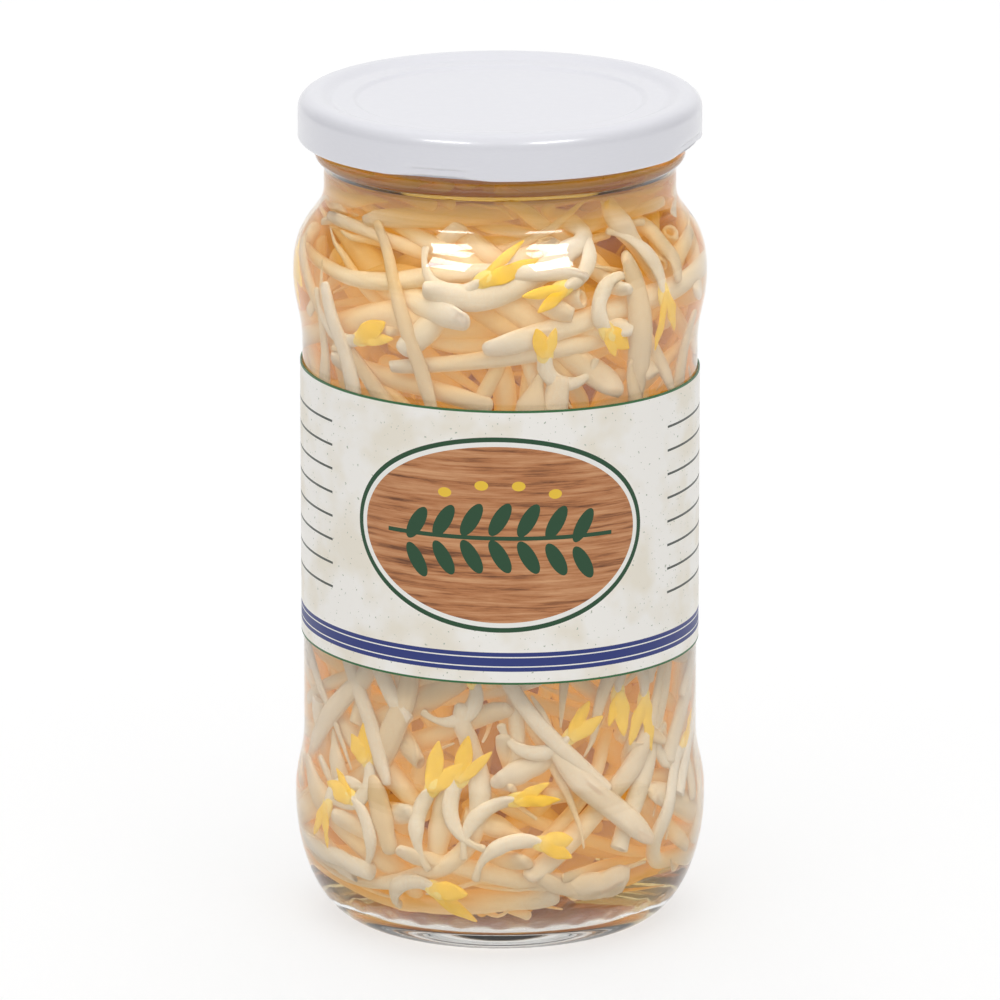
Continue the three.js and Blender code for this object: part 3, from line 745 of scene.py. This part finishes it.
MIDDLE_BUNCH = (48.2, 92.2)
bunches = {"bottom": (0, MIDDLE_BUNCH[0]), "middle": MIDDLE_BUNCH, "top": (MIDDLE_BUNCH[1], BRINE_TOP)}
for bunch, (low, high) in bunches.items():
    growth = Growth()
    for course, thickness in list(zip(courses, thicknesses))[len(stem_nodes):]:
        if low <= course[:, 2].mean() < high:
            root, hollow = rng.random() < 0.65, rng.random() < 0.25
            grow_stem(growth, course, thickness * rng.uniform(0.8, 1.15), rng, root, hollow, thin=0.12)
    piece = growth.finish(f"bunch_{bunch}", stem_flesh)
    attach(piece, "jar")
    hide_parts(f"sprouts_{bunch}")

# ---------------------------------------------------------------------------------------
# Leaves
# The pair of folded leaves at a shoot's tip, with half of the bean behind them as a seed leaf.
# They grew in the dark, so they are yellow, pointed and thin, and lie flat against the glass.
# ---------------------------------------------------------------------------------------

LEAF_HALF_WIDTH = 1.6
LEAF_HALF_THICKNESS = 0.2
SEED_LEAF_LENGTH = 4.6
SEED_LEAF_HALF_WIDTH = 1.4


def unit(vector):
    return vector / np.linalg.norm(vector)


def grow_leaf(growth, course, half_width, fold, tone, rng):
    """A pointed blade along a course, folded along its rib, with a rippled edge."""
    line = curve_through(course, 2)
    sides = 14
    ripple, phase = rng.uniform(0.12, 0.3), rng.uniform(0, 6)
    rings, places = [], []
    for row, spot in enumerate(line):
        share = row / (len(line) - 1)
        outward = unit(np.array([spot[0], spot[1], 0.0]))
        direction = unit(line[min(row + 1, len(line) - 1)] - line[max(row - 1, 0)])
        across = np.cross(outward, direction)
        width = half_width * math.sin(math.pi * min(share * 0.9 + 0.09, 1)) ** 0.8 + 0.06
        ring = []
        for side in range(sides):
            turn = 2 * math.pi * side / sides
            sideways, through = math.cos(turn), math.sin(turn) * LEAF_HALF_THICKNESS
            wave = ripple * math.sin(share * 13 + phase + (0 if sideways > 0 else 2)) * sideways ** 2
            inwards = fold * abs(sideways) * width - wave * (width / half_width)
            ring.append(spot + across * sideways * width + outward * (through - inwards))
        rings.append(np.array(ring))
        places.append(share)
    growth.loft(rings, tone, places)


def grow_seed_leaf(growth, base, points_to, outward, length, tone):
    """Half a bean: a plump oval, flat on one side."""
    across = np.cross(points_to, outward)
    sides, rows = 14, 10
    rings, places = [], []
    for row in range(rows + 1):
        share = row / rows
        reach = math.sqrt(max(1 - (2 * share - 1) ** 2, 0)) * 0.98 + 0.02
        middle = base + points_to * length * share
        ring = []
        for side in range(sides):
            turn = 2 * math.pi * side / sides
            height = math.sin(turn) * (1.0 if math.sin(turn) > 0 else 0.35)
            sideways = across * math.cos(turn) * SEED_LEAF_HALF_WIDTH * reach
            ring.append(middle + sideways + outward * height * reach)
        rings.append(np.array(ring))
        places.append(share)
    growth.loft(rings, tone, places)


# Etiolated leaf, grown: saturated yellow with a paler base, finely mottled and puckered by its
# veins. A painted glow in its own colour stands for light coming through the thin blade.
VEIN_SPACING = 0.8
VEIN_RELIEF = 0.2
leaf_flesh, tree = new_material("sprout_leaf_etiolated")
leaf_flesh.cycles.emission_sampling = "NONE"
tone = add(tree, "ShaderNodeAttribute", attribute_name="tone")
along = add(tree, "ShaderNodeAttribute", attribute_name="along")
blade = add(tree, "ShaderNodeValToRGB", {0: tone.outputs["Fac"]})
blade.color_ramp.elements[0].color = colour("#ffd21a")
blade.color_ramp.elements[1].color = colour("#f9e5a4")
base_share = add(tree, "ShaderNodeMapRange", {
    0: along.outputs["Fac"], 1: 0.0, 2: 0.3, 3: 0.55, 4: 0.0,
})
based = add(tree, "ShaderNodeMix", {
    0: base_share.outputs[0], 6: blade.outputs["Color"], 7: colour("#f0dca0"),
}, data_type="RGBA")
veins = add(tree, "ShaderNodeTexNoise", {"Scale": 1 / (VEIN_SPACING * MM), "Detail": 3.0})
veined = add(tree, "ShaderNodeMix", {
    0: veins.outputs["Fac"], 6: based.outputs[2], 7: colour("#fde06a"),
}, data_type="RGBA", blend_type="MULTIPLY")
vein_bump = add(tree, "ShaderNodeBump", {
    "Height": veins.outputs["Fac"], "Strength": 0.4, "Distance": VEIN_RELIEF * MM,
})
# painted glow: the leaf shines a little in its own colour, for light through the thin blade
flesh = add(tree, "ShaderNodeBsdfPrincipled", {
    "Base Color": veined.outputs[2], "Roughness": 0.6, "IOR": 1.4, "Specular IOR Level": 0.04,
    "Normal": vein_bump.outputs["Normal"],
    "Emission Color": veined.outputs[2], "Emission Strength": 0.22,
})
add(tree, "ShaderNodeOutputMaterial", {"Surface": flesh.outputs[0]})


def grow_bud(growth, pair, rng):
    """Two leaves from one base, with a seed leaf behind them."""
    for blade in pair:
        width = LEAF_HALF_WIDTH * rng.uniform(0.55, 1.05)
        grow_leaf(growth, blade, width, rng.uniform(0.0, 0.3), rng.uniform(0.0, 0.35), rng)
    base = pair[0][0]
    outward = unit(np.array([base[0], base[1], 0.0]))
    tips = pair[0][-1] + pair[1][-1] - 2 * base
    points_to = unit(tips - outward * (tips @ outward))
    behind = base - outward * 0.9 - points_to * 1.5
    grow_seed_leaf(growth, behind, points_to, outward, SEED_LEAF_LENGTH, 0.9)


pairs = [(blades[i], blades[i + 1]) for i in range(0, len(blades), 2)]
for name, pair in zip(leaf_nodes, pairs):
    growth = Growth()
    grow_bud(growth, pair, rng)
    leaves = growth.finish(f"leaf_pair_{name[-2:]}", leaf_flesh)
    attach(leaves, "jar")
    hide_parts(name)

growth = Growth()
for pair in pairs[len(leaf_nodes):]:
    grow_bud(growth, pair, rng)
stray_leaves = growth.finish("stray_leaves", leaf_flesh)
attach(stray_leaves, "jar")

# ---------------------------------------------------------------------------------------
# Label
# One strip of coated paper, printed and wrapped round the recess, its end glued over its
# start at the back.
# ---------------------------------------------------------------------------------------

LABEL_BOTTOM = 47.7
LABEL_TOP = 93.7
LABEL_SKEW = 0.6  # it was wrapped slightly askew, its right side this much low
PAPER = 0.25
PAPER_TOOTH = 0.1
LABEL_GAP = 0.06
LABEL_LAP = 12  # facets by which the end covers the start
LABEL_ROWS = 6
LABEL_HEIGHT = LABEL_TOP - LABEL_BOTTOM
OVAL_CENTRE = (0, LABEL_HEIGHT / 2 + 2.2)
OVAL_RINGS = (((25.0, 16.4), "#1d4a2c"), ((24.2, 15.6), "#f3f2ec"))  # half sizes, from outside in
OVAL_HALF_SIZE = (23.4, 14.8)
SPRIG_GREEN = "#1d4a2c"
SPRIG_PITCH = 4.6
SPRIG_DROOP = 0.16
SPRIG_LEAF = (3.1, 1.25)
SPRIG_LEAN = 1.05
STALK_HALF_LENGTH = 19
BEAN_PLACES = (-9, -3, 3, 9)
BEAN_HALF_SIZE = (1.1, 0.8)
BAND = (2.2, 5.4)
BAND_LINES = ((2.9, 3.1), (4.5, 4.7))
EDGE_LINE = 0.35
TABLE_MIDDLE = 49.0  # from the middle of the front to that of each block of ruled lines
TABLE_HALF_WIDTH = 17.0
TABLE_HEIGHTS = (9, 41)
HALF_RULE_PITCH = 2.0
HALF_RULE = 0.2
HALF_POST = 0.12
MIST_SCALE = 0.09  # repeats in a millimetre, for clouds about 11 mm wide
SPECK_SCALE = 1.6  # specks of about 0.6 mm
SPECK_THRESHOLD = 0.69
WOOD_GRAIN = (0.05, 0.9, 1)  # streaks about 20 mm long and 1.1 mm wide
FUZZ_SCALE = 3.0  # 0.3 mm, coarser than a real coating so that it shows

# Coated paper, offset printed: satin white with a fine speckle, an oval of wood grain with a dark
# green sprig and four yellow beans, a navy band, green edges, and ruled lines at both sides.
# The print's sizes are millimetres: along from the middle of the front, and up from its foot.
paper, tree = new_material("coated_paper_offset_printed")
place = add(tree, "ShaderNodeUVMap", uv_map="print_mm")


def oval_mask(centre, half_size, turn=0.0):
    """1 inside a turned ellipse on the print, 0 outside."""
    moved = add(tree, "ShaderNodeMapping", {
        "Vector": place.outputs[0], "Location": (*centre, 0), "Rotation": (0, 0, turn),
        "Scale": (*half_size, 1),
    }, vector_type="TEXTURE")
    length = add(tree, "ShaderNodeVectorMath", {0: moved.outputs[0]}, operation="LENGTH")
    inside = add(tree, "ShaderNodeMath", {0: length.outputs["Value"], 1: 1.0}, operation="LESS_THAN")
    return inside.outputs[0]


def either(masks):
    """1 where any of the masks is."""
    joined = masks[0]
    for mask in masks[1:]:
        joined = add(tree, "ShaderNodeMath", {0: joined, 1: mask}, operation="MAXIMUM").outputs[0]
    return joined


def inked(below, mask, ink):
    """Prints an ink over what is below it, where the mask is 1."""
    return add(tree, "ShaderNodeMix", {0: mask, 6: below, 7: ink}, data_type="RGBA").outputs[2]


axes = add(tree, "ShaderNodeSeparateXYZ", {0: place.outputs[0]})


def band_mask(axis, low, high):
    """1 between two values of an axis of the print."""
    middle, half = (low + high) / 2, (high - low) / 2
    between = {0: axes.outputs[axis], 1: middle, 2: half}
    return add(tree, "ShaderNodeMath", between, operation="COMPARE").outputs[0]


def both(one, other):
    """1 where both masks are."""
    return add(tree, "ShaderNodeMath", {0: one, 1: other}, operation="MULTIPLY").outputs[0]


mist = add(tree, "ShaderNodeTexNoise", {"Vector": place.outputs[0], "Scale": MIST_SCALE, "Detail": 3.0})
misty = add(tree, "ShaderNodeMapRange", {0: mist.outputs["Fac"], 1: 0.45, 2: 0.62})
ground = inked(colour("#f9f6f0"), misty.outputs[0], colour("#f0e9da"))
speck = add(tree, "ShaderNodeTexNoise", {"Vector": place.outputs[0], "Scale": SPECK_SCALE, "Detail": 2.0})
specks = add(tree, "ShaderNodeMath", {
    0: speck.outputs["Fac"], 1: SPECK_THRESHOLD,
}, operation="GREATER_THAN")
ground = inked(ground, specks.outputs[0], colour("#b9bfae"))

grain_place = add(tree, "ShaderNodeMapping", {"Vector": place.outputs[0], "Scale": WOOD_GRAIN})
grain = add(tree, "ShaderNodeTexNoise", {
    "Vector": grain_place.outputs[0], "Scale": 1.0, "Detail": 6.0, "Roughness": 0.7,
})
wood = add(tree, "ShaderNodeValToRGB", {0: grain.outputs["Fac"]})
wood.color_ramp.elements[0].position = 0.36
wood.color_ramp.elements[0].color = colour("#6e4123")
wood.color_ramp.elements[1].position = 0.66
wood.color_ramp.elements[1].color = colour("#d9a274")
wood_middle = wood.color_ramp.elements.new(0.47)
wood_middle.color = colour("#b87747")

ink = ground
for half_size, ring_ink in OVAL_RINGS:
    ink = inked(ink, oval_mask(OVAL_CENTRE, half_size), colour(ring_ink))
ink = inked(ink, oval_mask(OVAL_CENTRE, OVAL_HALF_SIZE), wood.outputs["Color"])

level = OVAL_CENTRE[1]
sprig = []
for i in range(-3, 4):
    x, droop = i * SPRIG_PITCH, SPRIG_DROOP * i * i
    sprig.append(oval_mask((x, level + 2.6 - droop), SPRIG_LEAF, SPRIG_LEAN))
    sprig.append(oval_mask((x, level - 3.6 - droop), SPRIG_LEAF, -SPRIG_LEAN))
stalk_rows = band_mask("Y", level - 0.9, level - 0.2)
stalk = both(stalk_rows, band_mask("X", -STALK_HALF_LENGTH, STALK_HALF_LENGTH))
ink = inked(ink, either([*sprig, stalk]), colour(SPRIG_GREEN))
beans = [oval_mask((x, level + 8.4 - 0.02 * x * x), BEAN_HALF_SIZE) for x in BEAN_PLACES]
ink = inked(ink, either(beans), colour("#f0c63a"))

ink = inked(ink, band_mask("Y", *BAND), colour("#26357c"))
ink = inked(ink, either([band_mask("Y", *line) for line in BAND_LINES]), colour("#f3f2ec"))
foot_edge = band_mask("Y", 0, EDGE_LINE)
top_edge = band_mask("Y", LABEL_HEIGHT - EDGE_LINE, LABEL_HEIGHT)
ink = inked(ink, either([foot_edge, top_edge]), colour("#2f6b3c"))

aside = add(tree, "ShaderNodeMath", {0: axes.outputs["X"]}, operation="ABSOLUTE")
in_table = add(tree, "ShaderNodeMath", {
    0: aside.outputs[0], 1: TABLE_MIDDLE, 2: TABLE_HALF_WIDTH,
}, operation="COMPARE")
in_rows = band_mask("Y", *TABLE_HEIGHTS)
row_phase = add(tree, "ShaderNodeMath", {
    0: axes.outputs["Y"], 1: HALF_RULE_PITCH,
}, operation="PINGPONG")
rule = add(tree, "ShaderNodeMath", {0: row_phase.outputs[0], 1: HALF_RULE}, operation="LESS_THAN")
ink = inked(ink, both(both(in_table.outputs[0], in_rows), rule.outputs[0]), colour("#454b43"))
post = add(tree, "ShaderNodeMath", {
    0: aside.outputs[0], 1: TABLE_MIDDLE, 2: HALF_POST,
}, operation="COMPARE")
ink = inked(ink, both(post.outputs[0], in_rows), colour("#454b43"))

fuzz = add(tree, "ShaderNodeTexNoise", {"Vector": place.outputs[0], "Scale": FUZZ_SCALE, "Detail": 4.0})
paper_bump = add(tree, "ShaderNodeBump", {
    "Height": fuzz.outputs["Fac"], "Strength": 0.08, "Distance": PAPER_TOOTH * MM,
})
coated = add(tree, "ShaderNodeBsdfPrincipled", {
    "Base Color": ink, "Roughness": 0.42, "IOR": 1.5, "Specular IOR Level": 0.4,
    "Normal": paper_bump.outputs["Normal"],
})
add(tree, "ShaderNodeOutputMaterial", {"Surface": coated.outputs[0]})


def label_piece():
    """The strip's section, carried round the jar and stepped up over its own start."""
    stations = TURN_STEPS + LABEL_LAP
    rows = LABEL_ROWS
    vertices, places = [], []
    for station in range(stations + 1):
        angle = math.pi + 2 * math.pi * station / TURN_STEPS
        lift = (PAPER + LABEL_GAP) * smooth_step((station - TURN_STEPS + 2) / 2)
        inner = PANEL_RADIUS + LABEL_GAP + lift
        run = PANEL_RADIUS * 2 * math.pi * (station / TURN_STEPS - 0.5)
        for radius, order in ((inner, range(rows + 1)), (inner + PAPER, range(rows, -1, -1))):
            for row in order:
                height = LABEL_BOTTOM + LABEL_HEIGHT * row / rows
                vertices.append(around(radius, angle, height - LABEL_SKEW * math.sin(angle)))
                places.append((run, height - LABEL_BOTTOM))
    corners = 2 * (rows + 1)
    faces = []
    for station in range(stations):
        for corner in range(corners):
            a, b = station * corners + corner, station * corners + (corner + 1) % corners
            faces.append((a, b, b + corners, a + corners))
    last = stations * corners
    for row in range(rows):
        faces.append((row + 1, row, corners - 1 - row, corners - 2 - row))
        faces.append((last + row, last + row + 1, last + corners - 2 - row, last + corners - 1 - row))
    piece = new_object("paper_label", vertices, faces, paper)
    piece.data.set_sharp_from_angle(angle=math.radians(40))
    layer = piece.data.uv_layers.new(name="print_mm")
    for loop in piece.data.loops:
        layer.data[loop.index].uv = places[loop.vertex_index]
    return piece


label = label_piece()
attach(label, "jar")
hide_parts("label")

# ---------------------------------------------------------------------------------------
# Sealing ring
# Plastisol, flowed into the lid's channel and baked: an off-white ring that the glass's rim
# has pressed a shallow groove into.
# ---------------------------------------------------------------------------------------

SEAL_INNER_RADIUS = 26.9
SEAL_OUTER_RADIUS = 29.7
SEAL_BOTTOM = 136.5
SEAL_TOP = 137.5
SEAL_GROOVE = 0.25
SEAL_EDGE = 0.2
GRAIN_SIZE = 0.6
GRAIN_RELIEF = 0.1

# Plastisol, flowed and baked: dull and faintly grainy.
plastisol, tree = new_material("plastisol_flowed")
grains = add(tree, "ShaderNodeTexNoise", {"Scale": 1 / (GRAIN_SIZE * MM), "Detail": 2.0})
ring_tone = add(tree, "ShaderNodeMix", {
    0: grains.outputs["Fac"], 6: colour("#ece8dc"), 7: colour("#dcd6c6"),
}, data_type="RGBA")
grain_bump = add(tree, "ShaderNodeBump", {
    "Height": grains.outputs["Fac"], "Strength": 0.2, "Distance": GRAIN_RELIEF * MM,
})
dull = add(tree, "ShaderNodeBsdfPrincipled", {
    "Base Color": ring_tone.outputs[2], "Roughness": 0.7, "IOR": 1.5,
    "Normal": grain_bump.outputs["Normal"],
})
add(tree, "ShaderNodeOutputMaterial", {"Surface": dull.outputs[0]})

seal_middle = (SEAL_INNER_RADIUS + SEAL_OUTER_RADIUS) / 2
seal_half = (SEAL_OUTER_RADIUS - SEAL_INNER_RADIUS) / 2
seal = turned("plastisol_ring", [
    (SEAL_INNER_RADIUS, SEAL_BOTTOM + 0.1), (SEAL_INNER_RADIUS + SEAL_EDGE, SEAL_BOTTOM),
    *arc(seal_middle, SEAL_BOTTOM, seal_half - 0.5, SEAL_GROOVE, 180, 0, 8),
    (SEAL_OUTER_RADIUS - SEAL_EDGE, SEAL_BOTTOM), (SEAL_OUTER_RADIUS, SEAL_BOTTOM + 0.1),
    (SEAL_OUTER_RADIUS, SEAL_TOP), (SEAL_INNER_RADIUS, SEAL_TOP),
], plastisol)
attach(seal, "seal")
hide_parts("sealing_ring")

# ---------------------------------------------------------------------------------------
# Lid
# Tinplate, lacquered white, pressed with a raised rim and two shallow steps, and curled at its
# edge. Four lugs are pressed in out of the curl to hold under the threads, which dents its outside.
# ---------------------------------------------------------------------------------------

LID_TOP = 139.1
LID_BOTTOM = 131.6
LID_RADIUS = 33.1
SHEET = 0.6
SHOULDER_ROUNDING = 2.5
RIM_INNER_RADIUS = 30.0
RIM_RUN = 3.0  # the rim falls gently to the stacking face
STEP_RUN = 1.4
STACKING_FACE = 138.2
CENTRE_PANEL_RADIUS = 23.0
CENTRE_PANEL_HEIGHT = 137.75
CURL_RADIUS = 31.9
CURL_TOP = 133.4
LUG_INNER_RADIUS = 30.4
LUG_HALF_ANGLE = math.radians(8)
LUG_FADE = 0.035  # radians by which a lug's sides slope, each way
DENT_HALF_ANGLE = math.radians(17)
DENT_TOP = 134.3
DENT_FADE = 1.6
DENT_DEPTH = 0.45
DENT_LIFT = 0.5
DENT_LIFT_TOP = 133  # only the curl's lower edge is lifted
PLAIN_ABOVE = 135
PEEL_SIZE = 1.4
PEEL_RELIEF = 0.1
CLOUD_SIZE = 22

# Tinplate with baked white lacquer: glossy, with the faint orange peel of a roller coat.
lacquer, tree = new_material("tinplate_white_lacquer_baked")
peel = add(tree, "ShaderNodeTexNoise", {"Scale": 1 / (PEEL_SIZE * MM), "Detail": 2.0})
peel_bump = add(tree, "ShaderNodeBump", {
    "Height": peel.outputs["Fac"], "Strength": 0.04, "Distance": PEEL_RELIEF * MM,
})
cloud = add(tree, "ShaderNodeTexNoise", {"Scale": 1 / (CLOUD_SIZE * MM), "Detail": 2.0})
white = add(tree, "ShaderNodeMix", {
    0: cloud.outputs["Fac"], 6: colour("#e8e8ee"), 7: colour("#e3e3ea"),
}, data_type="RGBA")
baked = add(tree, "ShaderNodeBsdfPrincipled", {
    "Base Color": white.outputs[2], "Roughness": 0.3, "IOR": 1.5, "Coat Weight": 0.4,
    "Coat Roughness": 0.12, "Normal": peel_bump.outputs["Normal"],
})
add(tree, "ShaderNodeOutputMaterial", {"Surface": baked.outputs[0]})


def step_curve(outer, inner, steps):
    """A pressed step between two flats, rounded at its top and its foot."""
    points = []
    for share in np.linspace(0, 1, steps + 1):
        fall = smooth_step(share)
        points.append((outer[0] + (inner[0] - outer[0]) * share, outer[1] + (inner[1] - outer[1]) * fall))
    return points


def lid_outline():
    slope = SHEET / 2
    shoulder, shoulder_height = LID_RADIUS - SHOULDER_ROUNDING, LID_TOP - SHOULDER_ROUNDING
    inner = SHOULDER_ROUNDING - SHEET
    curl_middle, curl_half = (LID_RADIUS + CURL_RADIUS) / 2, (LID_RADIUS - CURL_RADIUS) / 2
    rim_foot = RIM_INNER_RADIUS - RIM_RUN
    top_rim = (RIM_INNER_RADIUS, LID_TOP)
    top_flat = (rim_foot, STACKING_FACE)
    top_second = (CENTRE_PANEL_RADIUS + STEP_RUN, STACKING_FACE)
    top_centre = (CENTRE_PANEL_RADIUS, CENTRE_PANEL_HEIGHT)

    def under(spot):
        return spot[0] + slope, spot[1] - SHEET

    return [
        (0.0, CENTRE_PANEL_HEIGHT - SHEET),
        *step_curve(under(top_centre), under(top_second), 6),
        *step_curve(under(top_flat), under(top_rim), 6),
        *arc(shoulder, shoulder_height, inner, inner, 90, 0, 8),
        *straight((LID_RADIUS - SHEET, shoulder_height), (LID_RADIUS - SHEET, CURL_TOP + SHEET), 4),
        *straight((CURL_RADIUS, CURL_TOP), (CURL_RADIUS, LID_BOTTOM + curl_half), 3),
        *arc(curl_middle, LID_BOTTOM + curl_half, curl_half, curl_half, -180, 0, 10),
        *straight((LID_RADIUS, LID_BOTTOM + curl_half), (LID_RADIUS, shoulder_height), 12),
        *arc(shoulder, shoulder_height, SHOULDER_ROUNDING, SHOULDER_ROUNDING, 0, 90, 12),
        *step_curve(top_rim, top_flat, 8),
        *straight(top_flat, top_second, 3),
        *step_curve(top_second, top_centre, 8),
        *straight(top_centre, (0.0, CENTRE_PANEL_HEIGHT), 6),
    ]


def lid_relief(radius, height, angle):
    """Draws each lug in from the curl and dents the curl's outside and lower edge there."""
    if height > PLAIN_ABOVE or radius < CURL_RADIUS - 0.1:
        return radius, height
    for lug in LUG_ANGLES:
        away = abs(wrapped(angle - lug))
        dent = smooth_step(1.25 * (1 - away / DENT_HALF_ANGLE))
        dent *= smooth_step((DENT_TOP - height) / DENT_FADE)
        hook = smooth_step((LUG_HALF_ANGLE + LUG_FADE - away) / (2 * LUG_FADE))
        on_inside = radius < (CURL_RADIUS + LID_RADIUS) / 2
        if on_inside and height < CURL_TOP + 0.01:
            radius -= (CURL_RADIUS - LUG_INNER_RADIUS) * hook * (radius < CURL_RADIUS + 0.3)
        else:
            radius -= DENT_DEPTH * dent
        if height < DENT_LIFT_TOP:
            height += DENT_LIFT * dent * (1 - 0.5 * on_inside)
    return radius, height


lid = turned("lid_shell", lid_outline(), lacquer, lid_relief)
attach(lid, "lid")
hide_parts("lid")

# ---------------------------------------------------------------------------------------
# Studio: pale floor, soft white light, camera
# A wide matt floor in even white light, brighter from overhead and behind and dimmer at the
# sides. One soft box on each side of the camera adds its streaks to glossy surfaces only.
# ---------------------------------------------------------------------------------------

CAMERA_DISTANCE = 1.544  # metres in front of the jar's axis
CAMERA_HEIGHT = 0.4894
AIM_HEIGHT = 0.0699
LENS = 348.4  # millimetres, on a 36 mm wide sensor
FLOOR_SIZE = 12.0
AIR_LIGHT = 0.52  # strength of the light from all round, and then from overhead and from behind
OVERHEAD_LIGHT = 1.6
BACK_LIGHT = 0.9
SIDE_SHADE = 0.3  # share of it that comes from the far sides
BOX_AIM_HEIGHT = 0.115
BOX_DISTANCE = 1.3
BOX_AZIMUTH = 38
BOX_ELEVATION = 49.5
BOX_WIDTH = 0.46
BOX_HEIGHT = 0.22
BOX_RADIANCE = 16

# Matt paint, rolled: pale and without gloss. A little light of its own keeps it near white.
floor_white, tree = new_material("floor_paint_rolled")
matt = add(tree, "ShaderNodeBsdfPrincipled", {
    "Base Color": colour("#a4a4a4"), "Roughness": 0.9,
    "Emission Color": colour("#ffffff"), "Emission Strength": 0.6,
})
add(tree, "ShaderNodeOutputMaterial", {"Surface": matt.outputs[0]})
reach = FLOOR_SIZE / 2
corners = [(-reach, -reach, 0), (reach, -reach, 0), (reach, reach, 0), (-reach, reach, 0)]
floor = new_object("sweep", corners, [(0, 1, 2, 3)], floor_white, smooth=False)

world = bpy.data.worlds.new("studio_air")
world.use_nodes = True
tree = world.node_tree
tree.nodes.clear()
direction = add(tree, "ShaderNodeTexCoord")
rise = add(tree, "ShaderNodeSeparateXYZ", {0: direction.outputs["Generated"]})
overhead = add(tree, "ShaderNodeMapRange", {
    0: rise.outputs["Z"], 1: 0.35, 2: 0.95, 3: AIR_LIGHT, 4: OVERHEAD_LIGHT,
}, interpolation_type="SMOOTHSTEP")
behind = add(tree, "ShaderNodeMapRange", {
    0: rise.outputs["Y"], 1: 0.3, 2: 0.85, 3: 0.0, 4: BACK_LIGHT,
}, interpolation_type="SMOOTHSTEP")
brighter = add(tree, "ShaderNodeMath", {0: overhead.outputs[0], 1: behind.outputs[0]}, operation="MAXIMUM")
sideways = add(tree, "ShaderNodeMath", {0: rise.outputs["X"]}, operation="ABSOLUTE")
wings = add(tree, "ShaderNodeMapRange", {
    0: sideways.outputs[0], 1: 0.4, 2: 0.95, 3: 1.0, 4: SIDE_SHADE,
})
strength = add(tree, "ShaderNodeMath", {0: brighter.outputs[0], 1: wings.outputs[0]}, operation="MULTIPLY")
air = add(tree, "ShaderNodeBackground", {"Color": colour("#ffffff"), "Strength": strength.outputs[0]})
add(tree, "ShaderNodeOutputWorld", {"Surface": air.outputs[0]})
bpy.context.scene.world = world

for side in (-1, 1):
    azimuth, rise = math.radians(BOX_AZIMUTH * side), math.radians(BOX_ELEVATION)
    level = BOX_DISTANCE * math.cos(rise)
    up = BOX_AIM_HEIGHT + BOX_DISTANCE * math.sin(rise)
    place = Vector((level * math.sin(azimuth), -level * math.cos(azimuth), up))
    lamp = bpy.data.lights.new(f"strip_box_{side}", "AREA")
    lamp.shape = "RECTANGLE"
    lamp.size, lamp.size_y = BOX_WIDTH, BOX_HEIGHT
    lamp.energy = BOX_RADIANCE * math.pi * BOX_WIDTH * BOX_HEIGHT
    box = bpy.data.objects.new(f"strip_box_{side}", lamp)
    box.location = place
    aim = Vector((0, 0, BOX_AIM_HEIGHT)) - place
    box.rotation_euler = aim.to_track_quat("-Z", "Y").to_euler()
    box.visible_diffuse = False  # it shows as a streak and doesn't light matt surfaces
    bpy.context.scene.collection.objects.link(box)

camera_data = bpy.data.cameras.new("camera")
camera_data.lens = LENS
camera_data.sensor_width = 36
camera_data.clip_end = 30
camera = bpy.data.objects.new("camera", camera_data)
camera.location = (0, -CAMERA_DISTANCE, CAMERA_HEIGHT)
aim = Vector((0, 0, AIM_HEIGHT)) - camera.location
camera.rotation_euler = aim.to_track_quat("-Z", "Y").to_euler()
bpy.context.scene.collection.objects.link(camera)
bpy.context.scene.camera = camera
bpy.context.scene.view_settings.view_transform = "Standard"
bpy.context.scene.cycles.max_bounces = 10
bpy.context.scene.cycles.diffuse_bounces = 2
bpy.context.scene.cycles.transmission_bounces = 10
